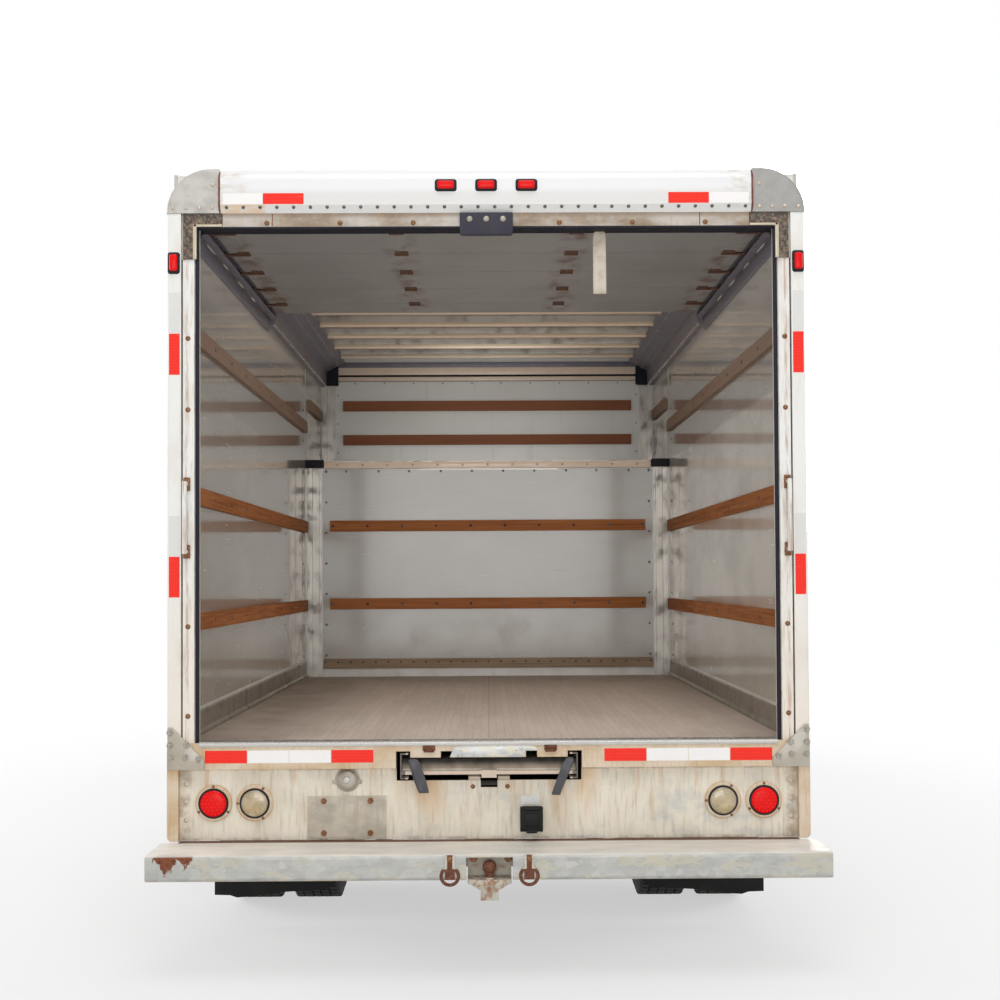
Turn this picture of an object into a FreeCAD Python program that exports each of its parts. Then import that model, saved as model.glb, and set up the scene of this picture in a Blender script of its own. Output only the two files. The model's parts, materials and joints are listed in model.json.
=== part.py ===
import FreeCAD, Part
import math
import os

import Sketcher
from FreeCAD import Placement, Rotation, Vector

# Box truck on a cutaway van chassis.
# +Z is up, +Y is forward, +X is the truck's right hand; z = 0 is the ground.
# Every length is in millimetres and every angle in degrees.

# alias, value
sizes = (
    # wheels and axles
    ("tyre_radius", 370), ("tyre_wide", 225), ("rim_radius", 203), ("bore_play", 0.05),
    ("wheelbase", 4013), ("front_axle", 2423), ("front_track", 850), ("king_pin", 730),
    ("twin_middle", 930), ("twin_pitch", 276), ("spindle", 25), ("axle_end", 38),
    # chassis
    ("rail_inside", 375), ("rail_outside", 435), ("rail_low", 560), ("rail_top", 744),
    ("rail_front_low", 440), ("rail_front_top", 600), ("rail_plate", 8), ("rail_front", 3000),
    ("rail_rear", -2890),
    # load body
    ("load_half", 1168), ("wall_thick", 32), ("deck_top", 864), ("deck_thick", 30),
    ("sill_low", 764), ("roof_under", 3050), ("roof_thick", 10), ("bow_high", 40),
    ("wall_front", 870), ("wall_inside", 830), ("attic_deck", 2244), ("attic_under", 2195),
    ("nose_front", 1750), ("nose_inside", 1694), ("rail_proud", 15),
    # rear frame
    ("rear_face", -2930), ("post_deep", 80), ("post_half", 1225), ("door_half", 1105),
    ("seal_half", 1122), ("groove_low", 1166), ("groove_high", 1172), ("head_low", 2841),
    ("cap_low", 2893), ("cap_top", 3066), ("casting_in", 1025), ("casting_out", 1229),
    ("apron_low", 491), ("apron_half", 1182), ("slot_half", 354), ("slot_low", 714),
    ("slot_top", 829), ("slot_lip", 805), ("notch_half", 32), ("notch_low", 687),
    # overhead door's tracks
    ("track_middle", 2880), ("track_inside", 31), ("track_web", 1140), ("bend_radius", 140),
    ("roller_radius", 15),
    # rear bumper and hitch
    ("step_low", 392), ("step_top", 487), ("step_rear", -3193), ("step_half", 1248),
    ("hitch_rear", -3200), ("ball_radius", 25.4), ("ball_high", 438),
    # ramp
    ("ramp_half", 338), ("ramp_low", 724), ("ramp_top", 822), ("ramp_deck", 794), ("ramp_long", 2743),
    # cab
    ("cab_half", 1014), ("cab_back", 950), ("cab_floor", 690), ("cab_skin", 40), ("cab_low", 470),
    ("arch_radius", 470), ("door_front", 1950), ("door_rear", 1062), ("door_low", 560),
    ("panel_gap", 7), ("belt", 1290), ("scuttle", 2473), ("scuttle_high", 1330),
    ("screen_top", 1863), ("screen_high", 2010), ("nose_tip", 3120),
)

doc = FreeCAD.newDocument("box_truck")
sheet = doc.addObject("Spreadsheet::Sheet", "Sizes")
for row, (alias, number) in enumerate(sizes, start=1):
    sheet.set(f"A{row}", alias)
    sheet.set(f"B{row}", str(number))
    sheet.setAlias(f"B{row}", alias)
worked = doc.addObject("Spreadsheet::Sheet", "Worked")
doc.recompute()

known = {alias for alias, number in sizes}
nodes = []


# ---------------------------------------------------------------- sizes from the sheet

def bound(text):
    """The expression with each alias written as the sheet's cell."""
    words = str(text).replace("(", " ( ").replace(")", " ) ").split()
    return " ".join("Sizes." + word if word in known else word for word in words)


def bind(thing, prop, text):
    thing.setExpression(prop, bound(text))


def values(texts):
    """Numbers that a list of expressions stands for."""
    for row, text in enumerate(texts, start=1):
        worked.set(f"A{row}", "=" + bound(text))
    worked.recompute()
    return [float(worked.get(f"A{row}")) for row in range(1, len(texts) + 1)]


def minus(text):
    return f"0 - ( {text} )"


# ---------------------------------------------------------------- sketches

def read_corners(corners):
    """Corners as numbers: place, rounding radius and the point that the next side bends through."""
    flat = []
    for corner in corners:
        flat += [part for part in corner if part != "by"]
    numbers = iter(values(flat))
    places = []
    for corner in corners:
        point = Vector(next(numbers), next(numbers), 0)
        texts = [part for part in corner if part != "by"]
        if corner[0] == "by":
            places[-1]["by"] = point
            places[-1]["by_texts"] = texts
            continue
        radius = next(numbers) if len(corner) == 3 else 0
        places.append({"point": point, "radius": radius, "texts": texts, "by": None})
    return places


def round_corner(before, place, after):
    """Ends and middle of the arc that rounds one corner."""
    point = place["point"]
    back = (before - point).normalize()
    ahead = (after - point).normalize()
    half = back.getAngle(ahead) / 2
    reach = place["radius"] / math.tan(half)
    middle = point + (back + ahead).normalize() * (place["radius"] / math.sin(half))
    return point + back * reach, point + ahead * reach, middle


def arc_between(start, end, middle):
    """Arc about middle, and which of its ends the outline reaches first."""
    turn = (start - middle).cross(end - middle).z
    circle = Part.Circle(middle, Vector(0, 0, 1), (start - middle).Length)
    low, high = (start, end) if turn > 0 else (end, start)
    arc = Part.ArcOfCircle(circle, circle.parameter(low), circle.parameter(high))
    return arc, (1, 2) if turn > 0 else (2, 1)


def arc_through(start, by, end):
    circle = Part.Circle(start, by, end)
    middle = circle.Center
    turn = (by - start).cross(end - by).z
    flat = Part.Circle(middle, Vector(0, 0, 1), circle.Radius)
    low, high = (start, end) if turn > 0 else (end, start)
    arc = Part.ArcOfCircle(flat, flat.parameter(low), flat.parameter(high))
    return arc, (1, 2) if turn > 0 else (2, 1)


def outline(sketch, corners):
    """Closed outline. A corner is (across, up), or (across, up, radius) where it is rounded,
    and ("by", across, up) between two corners bends the side between them through that point."""
    places = read_corners(corners)
    count = len(places)
    for i, place in enumerate(places):
        place["in"] = place["out"] = place["point"]
        if place["radius"]:
            before = places[i - 1]["point"]
            after = places[(i + 1) % count]["point"]
            place["in"], place["out"], place["middle"] = round_corner(before, place, after)
    shapes = []
    for i, place in enumerate(places):
        after = places[(i + 1) % count]
        side = after["point"] - place["point"]
        if side.dot(after["in"] - place["out"]) <= 0:
            raise ValueError(f"{sketch.Name}: the roundings meet between corners {i} and {i + 1}")
        if place["radius"]:
            arc, ends = arc_between(place["in"], place["out"], place["middle"])
            shapes.append((arc, ends, "round"))
        if place["by"] is None:
            shapes.append((Part.LineSegment(place["out"], after["in"]), (1, 2), "side"))
        else:
            arc, ends = arc_through(place["out"], place["by"], after["in"])
            shapes.append((arc, ends, "side"))
    first = sketch.GeometryCount
    sketch.addGeometry([shape for shape, ends, kind in shapes], False)
    rules = []
    datums = []
    total = len(shapes)
    for i, (shape, ends, kind) in enumerate(shapes):
        follow, follow_ends, follow_kind = shapes[(i + 1) % total]
        joint = "Tangent" if "round" in (kind, follow_kind) else "Coincident"
        rules.append(Sketcher.Constraint(joint, first + i, ends[1], first + (i + 1) % total, follow_ends[0]))
    index = 0
    for i, place in enumerate(places):
        if place["radius"]:
            corner = sketch.addGeometry(Part.Point(place["point"]), True)
            rules.append(Sketcher.Constraint("PointOnObject", corner, 1, first + (index - 1) % total))
            rules.append(Sketcher.Constraint("PointOnObject", corner, 1, first + index + 1))
            datums.append(("Radius", first + index, None, place["radius"], place["texts"][2]))
            hold = (corner, 1)
            index += 1
        else:
            hold = (first + index, shapes[index][1][0])
        datums.append(("DistanceX", *hold, place["point"].x, place["texts"][0]))
        datums.append(("DistanceY", *hold, place["point"].y, place["texts"][1]))
        if place["by"] is not None:
            bend = sketch.addGeometry(Part.Point(place["by"]), True)
            rules.append(Sketcher.Constraint("PointOnObject", bend, 1, first + index))
            datums.append(("DistanceX", bend, 1, place["by"].x, place["by_texts"][0]))
            datums.append(("DistanceY", bend, 1, place["by"].y, place["by_texts"][1]))
        index += 1
    hold_sizes(sketch, rules, datums)


def ring(sketch, across, up, radius):
    """Circle about a point."""
    numbers = values((across, up, radius))
    middle = Vector(numbers[0], numbers[1], 0)
    index = sketch.addGeometry(Part.Circle(middle, Vector(0, 0, 1), numbers[2]), False)
    hold_sizes(sketch, [], [("Radius", index, None, numbers[2], radius),
                            ("DistanceX", index, 3, middle.x, across),
                            ("DistanceY", index, 3, middle.y, up)])


def hold_sizes(sketch, rules, datums):
    """Adds the constraints, then ties each measured one to its expression."""
    start = sketch.ConstraintCount + len(rules)
    for kind, geometry, point, number, text in datums:
        if kind == "Radius":
            rules.append(Sketcher.Constraint(kind, geometry, number))
        else:
            rules.append(Sketcher.Constraint(kind, -1, 1, geometry, point, number))
    sketch.addConstraint(rules)
    for i, (kind, geometry, point, number, text) in enumerate(datums):
        sketch.setExpression(f"Constraints[{start + i}]", bound(text))


def origin_of(body, role):
    return next(thing for thing in body.Origin.OriginFeatures if thing.Role == role)


def drawn(body, name, plane, shapes, level="0"):
    """Sketch on one of the body's own planes, at a level along the plane's axis."""
    sketch = body.newObject("Sketcher::SketchObject", name)
    sketch.AttachmentSupport = [(origin_of(body, plane + "_Plane"), "")]
    sketch.MapMode = "FlatFace"
    away = minus(level) if plane == "XZ" else level
    bind(sketch, "AttachmentOffset.Base.z", away)
    for shape in shapes:
        if shape[0] == "ring":
            ring(sketch, *shape[1:])
        else:
            outline(sketch, shape)
    return sketch


# ---------------------------------------------------------------- solids

def prism(label, plane, shapes, low, high):
    """Body padded from an outline, between two levels along the plane's axis."""
    body = doc.addObject("PartDesign::Body", label)
    pad = body.newObject("PartDesign::Pad", label + "_pad")
    pad.Profile = drawn(body, label + "_sketch", plane, shapes, low)
    pad.Reversed = plane == "XZ"
    bind(pad, "Length", f"( {high} ) - ( {low} )")
    body.Tip = pad
    return body


def pocket(body, name, plane, shapes, low, high):
    """Cuts an outline out of a body between two levels along the plane's axis."""
    cutter = body.newObject("PartDesign::Pocket", name)
    cutter.Profile = drawn(body, name + "_sketch", plane, shapes, low)
    cutter.Reversed = plane != "XZ"
    bind(cutter, "Length", f"( {high} ) - ( {low} )")
    body.Tip = cutter
    return cutter


def repeat(body, feature, axis, reach, count):
    """Row of copies of a feature along one of the body's axes, over a length."""
    row = body.newObject("PartDesign::LinearPattern", feature.Name + "_row")
    row.Originals = [feature]
    row.Direction = (origin_of(body, axis + "_Axis"), [""])
    row.Mode = "Extent"
    bind(row, "Length", reach)
    row.Occurrences = count
    body.Tip = row
    return row


def turned(label, corners, axis="X", plane="XZ", angle=360):
    """Body turned about one of its own axes."""
    body = doc.addObject("PartDesign::Body", label)
    spin = body.newObject("PartDesign::Revolution", label + "_turn")
    spin.Profile = drawn(body, label + "_sketch", plane, [corners])
    spin.ReferenceAxis = (origin_of(body, axis + "_Axis"), [""])
    spin.Angle = angle
    body.Tip = spin
    return body


def round_edges(body, name, radius, wanted):
    """Fillets the edges of a body whose bounding boxes pass a test."""
    doc.recompute()
    base = body.Tip
    edges = [f"Edge{i + 1}" for i, edge in enumerate(base.Shape.Edges) if wanted(edge.BoundBox)]
    fillet = body.newObject("PartDesign::Fillet", name)
    fillet.Base = (base, edges)
    bind(fillet, "Radius", radius)
    body.Tip = fillet
    return fillet


def place(thing, x="0", y="0", z="0", turn=None):
    """Puts a piece at a point, turned about (axis, angle) if given."""
    if turn:
        thing.Placement = Placement(Vector(), Rotation(Vector(*turn[0]), turn[1]))
    for name, text in (("x", x), ("y", y), ("z", z)):
        bind(thing, "Placement.Base." + name, text)
    return thing


def block(label, x, y, z):
    """Box between two planes on each axis."""
    solid = doc.addObject("Part::Box", label)
    for prop, axis, (low, high) in (("Length", "x", x), ("Width", "y", y), ("Height", "z", z)):
        bind(solid, prop, f"( {high} ) - ( {low} )")
        bind(solid, "Placement.Base." + axis, low)
    return solid


axis_turn = {"x": ((0, 1, 0), 90), "y": ((1, 0, 0), -90), "z": ((0, 0, 1), 0)}


def rod(label, radius, axis, span, x="0", y="0", z="0"):
    """Cylinder along an axis, from span's low end to its high end."""
    solid = doc.addObject("Part::Cylinder", label)
    bind(solid, "Radius", radius)
    bind(solid, "Height", f"( {span[1]} ) - ( {span[0]} )")
    start = {"x": x, "y": y, "z": z}
    start[axis] = span[0]
    return place(solid, turn=axis_turn[axis], **start)


def group(label, pieces):
    """Like pieces on one body, as solids that don't touch."""
    thing = doc.addObject("Part::Compound", label)
    thing.Links = pieces
    return thing


def fused(label, pieces):
    thing = doc.addObject("Part::MultiFuse", label)
    thing.Shapes = pieces
    thing.Refine = True
    return thing


def common(label, pieces):
    thing = doc.addObject("Part::MultiCommon", label)
    thing.Shapes = pieces
    return thing


def cut(label, base, tools):
    thing = doc.addObject("Part::Cut", label)
    thing.Base = base
    thing.Tool = tools[0] if len(tools) == 1 else fused(label + "_tools", tools)
    return thing


def mirrored(label, piece):
    """The piece on the other side of the truck's centre plane."""
    thing = doc.addObject("Part::Mirroring", label)
    thing.Source = piece
    thing.Normal = Vector(1, 0, 0)
    return thing


def both(label, piece):
    """The piece and its mirror image."""
    return group(label, [piece, mirrored(label + "_left", piece)])


def node(thing):
    """Counts an object as a sub-part, whose label names its file."""
    nodes.append(thing)
    return thing


# ---------------------------------------------------------------- chassis

def chassis_frame():
    side = [("rail_rear", "rail_low"), ("650", "rail_low"), ("cab_back", "rail_front_low"),
            ("rail_front", "rail_front_low"), ("rail_front", "rail_front_top"),
            ("1000", "rail_front_top"), ("700", "rail_top"), ("rail_rear", "rail_top")]
    rail = prism("rail", "YZ", [side], "rail_inside", "rail_outside")
    hollow = [("rail_rear - 1", "rail_low + rail_plate"), ("652", "rail_low + rail_plate"),
              ("cab_back + 2", "rail_front_low + rail_plate"),
              ("rail_front + 1", "rail_front_low + rail_plate"),
              ("rail_front + 1", "rail_front_top - rail_plate"),
              ("998", "rail_front_top - rail_plate"), ("698", "rail_top - rail_plate"),
              ("rail_rear - 1", "rail_top - rail_plate")]
    pocket(rail, "rail_channel", "YZ", [hollow], "rail_inside - 1", "rail_outside - rail_plate")
    pieces = [rail, mirrored("rail_left", rail)]
    reach = "rail_outside - 2"
    # cross tube: y, z
    for i, (y, z) in enumerate(((2880, 520), (1720, 480), (760, 660), (-500, 600),
                                (-2150, 620), (-2780, 620))):
        pieces.append(rod(f"cross_tube_{i}", "30", "x", (minus(reach), reach), y=str(y), z=str(z)))
    for i, (low, high) in enumerate((("rail_inside", "rail_outside"),
                                     (minus("rail_outside"), minus("rail_inside")))):
        pieces.append(block(f"step_hanger_{i}", (low, high), ("rail_rear", "rail_rear + 60"),
                            ("step_low + 10", "rail_low + 4")))
        pieces.append(block(f"step_arm_{i}", (low, high), ("rear_face", "rail_rear + 4"),
                            ("step_low + 10", "step_top - 10")))
        pieces.append(block(f"runner_{i}", (low, high), ("rear_face + post_deep", "860"), ("rail_top", "sill_low")))
    return node(fused("chassis_frame", pieces))


def engine_block():
    return node(block("engine_block", (minus("290"), "290"), ("1900", "2780"), ("470", "1060")))


def drive_line():
    """Gearbox and propeller shaft."""
    gearbox = prism("gearbox", "XZ", [[("0 - 190", "520", "60"), ("190", "520", "60"),
                                       ("190", "860", "80"), ("0 - 190", "860", "80")]],
                    "1450", "1900")
    tail = rod("gearbox_tail", "60", "y", ("1100", "1450"), z="570")
    shaft = rod("propeller_shaft", "45", "z", ("0", "2434"))
    place(shaft, "0", "front_axle - wheelbase + 263", "tyre_radius + 40", ((1, 0, 0), -86.2))
    return node(fused("drive_line", [gearbox, tail, shaft]))


def fuel_tank():
    tank = prism("fuel_tank_shell", "XZ", [[("0 - 880", "430", "50"), ("0 - 470", "430", "50"),
                                            ("0 - 470", "690", "50"), ("0 - 880", "690", "50")]],
                 "0 - 800", "250")
    pieces = [tank]
    for i, y in enumerate((-600, 50)):
        pieces.append(block(f"tank_strap_{i}", ("0 - 470", minus("rail_outside")), (str(y - 25), str(y + 25)),
                            ("580", "690")))
    return node(fused("fuel_tank", pieces))


def exhaust_pipe():
    muffler = prism("muffler", "XZ", [[("500", "470", "60"), ("720", "470", "60"),
                                       ("720", "620", "60"), ("500", "620", "60")]], "0 - 500", "250")
    ahead = rod("down_pipe", "30", "y", ("250", "1800"), x="600", z="545")
    behind = rod("tail_pipe", "27", "y", ("0 - 1050", "0 - 500"), x="660", z="545")
    outlet = rod("tail_outlet", "27", "x", ("660", "1150"), y="0 - 1050", z="545")
    elbow = doc.addObject("Part::Sphere", "tail_elbow")
    elbow.Radius = 27
    place(elbow, "660", "0 - 1050", "545")
    hanger = block("exhaust_hanger", ("rail_outside", "560"), ("0 - 140", "0 - 110"), ("560", "620"))
    return node(fused("exhaust_pipe", [muffler, ahead, behind, outlet, elbow, hanger]))


def rear_axle():
    middle = "front_axle - wheelbase"
    tube = rod("axle_tube", "62", "x", ("0 - 640", "640"), y=middle, z="tyre_radius")
    bowl = turned("differential", [("0 - 150", "0"), ("150", "0"), ("150", "64"), ("76", "170"),
                                   ("0 - 76", "170"), ("0 - 150", "64")])
    place(bowl, "0", middle, "tyre_radius")
    nose = rod("pinion_nose", "80", "y", (f"{middle} + 100", f"{middle} + 260"), z="tyre_radius + 40")
    ends = rod("axle_ends", "axle_end", "x", ("0 - 1040", "1040"), y=middle, z="tyre_radius")
    pieces = [tube, bowl, nose, ends]
    for side, sign in (("right", ""), ("left", "0 - ")):
        pieces.append(rod(f"brake_{side}", "165", "x", sorted_span(sign, 596, 652), y=middle,
                          z="tyre_radius"))
        low, high = sorted_span(sign, 478, 562)
        pieces.append(block(f"spring_pad_{side}", (low, high), (f"{middle} - 70", f"{middle} + 70"),
                            ("tyre_radius", "tyre_radius + 70")))
    side = leaf_pack("rear_spring", "front_axle - wheelbase", ("482", "558"), "tyre_radius + 70", 700, 540,
                     ((700, 540, 480), (600, 517, 472), (480, 495, 464), (350, 476, 456), (200, 457, 448)))
    return node(fused("rear_axle", pieces + side))


def sorted_span(sign, low, high):
    """Span on the right side, or its mirror image where sign is a minus."""
    return (f"{sign}{high}", f"{sign}{low}") if sign else (str(low), str(high))


def leaf_pack(label, middle, across, seat, reach, eye, leaves):
    """Leaf spring clamped on its axle's seat, hung from the rail at both eyes, and its mirror image.
    Each leaf is (half length, height of its ends, height of its middle)."""
    pack = []
    for i, (half, end, crown) in enumerate(leaves):
        leaf = prism(f"{label}_leaf_{i}", "YZ", [[(f"0 - {half}", str(end - 1)), ("by", "0", str(crown - 8)),
                                                  (str(half), str(end - 1)), (str(half), str(end + 8)),
                                                  ("by", "0", str(crown + 1)), (f"0 - {half}", str(end + 8))]],
                     *across)
        pack.append(place(leaf, y=middle))
    for i, y in enumerate((-reach, reach)):
        pack.append(rod(f"{label}_eye_{i}", "24", "x", ("rail_outside + 1", across[1]),
                        y=f"{middle} + {y}", z=str(eye)))
        pack.append(block(f"{label}_hanger_{i}", ("rail_outside", f"{across[0]} - 1"),
                          (f"{middle} + {y - 40}", f"{middle} + {y + 40}"), (str(eye - 10), str(eye + 60))))
    pack.append(block(f"{label}_clamp", (f"{across[0]} - 8", f"{across[1]} + 8"), (f"{middle} - 60", f"{middle} + 60"),
                      (seat, f"{seat} + 52")))
    side = fused(f"{label}_right", pack)
    return [side, mirrored(f"{label}_left", side)]


def front_axle():
    """Dropped beam with an upright eye at each end for the king pin."""
    beam = prism("axle_beam", "XZ", [[("0 - 710", "344"), ("0 - 560", "300", "60"), ("560", "300", "60"),
                                      ("710", "344"), ("710", "404"), ("540", "362", "60"),
                                      ("0 - 540", "362", "60"), ("0 - 710", "404")]],
                 "front_axle - 40", "front_axle + 40")
    pieces = [beam]
    bores = []
    for side, sign in (("right", ""), ("left", "0 - ")):
        x = f"{sign}king_pin"
        pieces.append(rod(f"pin_eye_{side}", "34", "z", ("330", "410"), x=x, y="front_axle"))
        bores.append(rod(f"pin_bore_{side}", "14 + bore_play", "z", ("300", "440"), x=x, y="front_axle"))
        low, high = sorted_span(sign, 437, 527)
        pieces.append(block(f"spring_seat_{side}", (low, high), ("front_axle - 50", "front_axle + 50"),
                            ("350", "372")))
    forging = cut("axle_beam_bored", fused("axle_forging", pieces), bores)
    side = leaf_pack("front_spring", "front_axle", ("444", "508"), "372", 540, 470,
                     ((540, 470, 412), (440, 447, 403), (300, 422, 394), (160, 402, 386)))
    return node(fused("front_axle", [forging] + side))


# ---------------------------------------------------------------- wheels

def tyre_section(middle="0"):
    """Half section of one tyre: (along the axle, radius)."""
    return [(f"{middle} - 84", "rim_radius"), (f"{middle} + 84", "rim_radius"),
            (f"{middle} + 112", "240"), (f"{middle} + 112", "336"), (f"{middle} + 90", "tyre_radius"),
            (f"{middle} - 90", "tyre_radius"), (f"{middle} - 112", "336"), (f"{middle} - 112", "240")]


def rim_section(disc, hub_out, hub_in, bore):
    """Half section of one steel wheel with its hub; disc is how far the centre sits outboard."""
    return [("0 - 88", "rim_radius"), ("0 - 88", "rim_radius - 14"), (f"{disc} - 10", "rim_radius - 14"),
            (f"{disc} - 10", "92"), (hub_in, "92"), (hub_in, bore), (hub_out, bore), (hub_out, "62"),
            (disc, "62"), (disc, "rim_radius - 14"), ("88", "rim_radius - 14"), ("88", "rim_radius")]


def hand_holes(rim, disc, count=4):
    """Row of round holes through the wheel's disc."""
    hole = rim.newObject("PartDesign::Pocket", rim.Name + "_hole")
    hole.Profile = drawn(rim, rim.Name + "_hole_sketch", "YZ", [("ring", "0", "136", "22")], f"{disc} - 60")
    hole.Reversed = True
    bind(hole, "Length", "90")
    ring_of = rim.newObject("PartDesign::PolarPattern", rim.Name + "_holes")
    ring_of.Originals = [hole]
    ring_of.Axis = (origin_of(rim, "X_Axis"), [""])
    ring_of.Angle = 360
    ring_of.Occurrences = count
    rim.Tip = ring_of


def front_wheel(side, sign):
    """Tyre and rim of one front wheel, turning on the knuckle's spindle."""
    hand = [] if sign == "" else [((0, 0, 1), 180)]
    tyre = turned(f"front_{side}_tyre", tyre_section())
    rim = turned(f"front_{side}_rim", rim_section("40", "88", "0 - 30", "spindle + bore_play"))
    hand_holes(rim, "40")
    for piece in (tyre, rim):
        place(piece, f"{sign}front_track", "front_axle", "tyre_radius", *hand)
        node(piece)


def rear_wheels(side, sign):
    """Twin tyres and rims of one rear corner, turning on the axle's end."""
    turn = ((0, 0, 1), 180) if sign else ((0, 0, 1), 0)
    tyres = []
    rims = []
    # name, middle of the tyre from the pair's middle, how far the disc sits outboard
    for name, offset, disc in (("outer", "twin_pitch / 2", "0 - 112"), ("inner", "0 - twin_pitch / 2", "112")):
        tyre = turned(f"rear_{side}_{name}_tyre", tyre_section(offset))
        tyres.append(place(tyre, f"{sign}twin_middle", "front_axle - wheelbase", "tyre_radius", turn))
        if name == "outer":
            section = [("0 - 88", "rim_radius"), ("0 - 88", "rim_radius - 14"), ("0 - 136", "rim_radius - 14"),
                       ("0 - 136", "100"), ("0 - 122", "100"), ("0 - 122", "rim_radius - 26"),
                       ("88", "rim_radius - 26"), ("88", "rim_radius")]
        else:
            section = [("88", "rim_radius"), ("88", "rim_radius - 14"), ("136", "rim_radius - 14"),
                       ("136", "100"), ("122", "100"), ("122", "rim_radius - 26"),
                       ("0 - 88", "rim_radius - 26"), ("0 - 88", "rim_radius")]
        rim = turned(f"rear_{side}_{name}_rim", section)
        hand_holes(rim, disc)
        offset_place = f"{sign}twin_middle" if not sign else "0 - twin_middle"
        shift = offset if not sign else minus(offset)
        rims.append(place(rim, f"{offset_place} + ( {shift} )", "front_axle - wheelbase", "tyre_radius", turn))
    hub = turned(f"rear_{side}_hub", [("0 - 30", "axle_end + bore_play"), ("106", "axle_end + bore_play"),
                                      ("106", "72"), ("16", "72"), ("16", "108"), ("0 - 30", "108")])
    place(hub, f"{sign}twin_middle", "front_axle - wheelbase", "tyre_radius", turn)
    node(group(f"rear_{side}_tyres", tyres))
    node(fused(f"rear_{side}_rims", rims + [hub]))


def knuckle(side, sign):
    """Steering knuckle: yoke round the axle's eye, king pin, spindle and steering arm."""
    x = f"{sign}king_pin"
    pin = rod(f"king_pin_{side}", "14", "z", ("310", "430"), x=x, y="front_axle")
    low, high = ("king_pin - 32", "king_pin + 52") if not sign else ("0 - king_pin - 52", "0 - king_pin + 32")
    cheek_low = block(f"yoke_low_{side}", (low, high), ("front_axle - 32", "front_axle + 32"), ("304", "326"))
    cheek_top = block(f"yoke_top_{side}", (low, high), ("front_axle - 32", "front_axle + 32"), ("414", "436"))
    low, high = ("king_pin + 40", "king_pin + 60") if not sign else ("0 - king_pin - 60", "0 - king_pin - 40")
    back = block(f"yoke_back_{side}", (low, high), ("front_axle - 50", "front_axle + 50"), ("304", "436"))
    reach = ("king_pin + 55", "front_track + 70") if not sign else ("0 - front_track - 70", "0 - king_pin - 55")
    stub = rod(f"spindle_{side}", "spindle", "x", reach, y="front_axle", z="tyre_radius")
    low, high = ("king_pin - 16", "king_pin + 16") if not sign else ("0 - king_pin - 16", "0 - king_pin + 16")
    arm = block(f"steering_arm_{side}", (low, high), ("front_axle - 190", "front_axle - 30"), ("306", "324"))
    eye = rod(f"arm_eye_{side}", "8 + bore_play", "z", ("300", "330"), x=x, y="front_axle - 165")
    body = fused(f"knuckle_body_{side}", [pin, cheek_low, cheek_top, back, stub, arm])
    return node(cut(f"{side}_knuckle", body, [eye]))


def tie_rod():
    """Rod behind the front axle between the two steering arms; its right eye is left open."""
    y = "front_axle - 165"
    bar = rod("tie_bar", "14", "x", ("0 - king_pin - 16", "king_pin + 16"), y=y, z="285")
    pin = rod("tie_pin", "8", "z", ("280", "330"), x="0 - king_pin", y=y)
    return node(fused("tie_rod", [bar, pin]))


# ---------------------------------------------------------------- load body

def floor_sills():
    """Cross bearers under the deck: short ones each side of the ramp's bay, whole ones ahead of it."""
    top = "deck_top - deck_thick"
    bearer = [("0", "0"), ("50", "0"), ("50", "6"), ("22", "6"), ("22", f"{top} - sill_low - 6"),
              ("50", f"{top} - sill_low - 6"), ("50", f"{top} - sill_low"), ("0", f"{top} - sill_low")]
    short = prism("short_bearer", "YZ", [bearer], "rail_inside", "load_half")
    repeat(short, short.Tip, "Y", "2560", 9)
    place(short, y="0 - 2810", z="sill_low")
    whole = prism("whole_bearer", "YZ", [bearer], minus("load_half"), "load_half")
    repeat(whole, whole.Tip, "Y", "840", 4)
    place(whole, y="0 - 60", z="sill_low")
    return node(group("floor_sills", [short, mirrored("short_bearer_left", short), whole]))


def box_floor():
    return node(block("box_floor", (minus("load_half"), "load_half"), ("rear_face + post_deep", "wall_inside"),
                      ("deck_top - deck_thick", "deck_top")))


def side_walls():
    wall = block("side_wall_right", ("load_half", "load_half + wall_thick"),
                 ("rear_face + post_deep", "wall_front"), ("sill_low", "roof_under"))
    return node(both("side_walls", wall))


def front_wall():
    return node(block("front_wall", (minus("load_half"), "load_half"), ("wall_inside", "wall_front"),
                      ("deck_top - deck_thick", "attic_deck")))


def attic_nose():
    """Nose over the cab: one moulded shell with rounded front corners."""
    half = "load_half + wall_thick"
    body = prism("attic_nose", "XY", [[(f"0 - ( {half} )", "wall_front"), (half, "wall_front"),
                                       (half, "nose_front", "100"),
                                       (f"0 - ( {half} )", "nose_front", "100")]],
                 "attic_under", "roof_under + roof_thick")
    pocket(body, "attic_space", "XY", [[("0 - load_half", "wall_front - 1"), ("load_half", "wall_front - 1"),
                                        ("load_half", "nose_inside", "10"),
                                        ("0 - load_half", "nose_inside", "10")]],
           "attic_deck", "roof_under")
    round_edges(body, "nose_round", "40", lambda box: box.ZMin > 3059 and box.YMax > 900)
    return node(body)


def roof():
    half = "load_half + wall_thick"
    return node(block("roof", (f"0 - ( {half} )", half), ("rear_face + post_deep", "wall_front"),
                      ("roof_under", "roof_under + roof_thick")))


def roof_bows():
    """Hat section bows under the roof skin."""
    hat = prism("roof_bows", "YZ", [[("0 - 2760", "roof_under"), ("0 - 2760", "roof_under - 4"),
                                     ("0 - 2744", "roof_under - 4"), ("0 - 2738", "roof_under - bow_high"),
                                     ("0 - 2706", "roof_under - bow_high"), ("0 - 2700", "roof_under - 4"),
                                     ("0 - 2684", "roof_under - 4"), ("0 - 2684", "roof_under")]],
                "0 - load_half", "load_half")
    repeat(hat, hat.Tip, "Y", "4063", 11)
    return node(hat)


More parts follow.
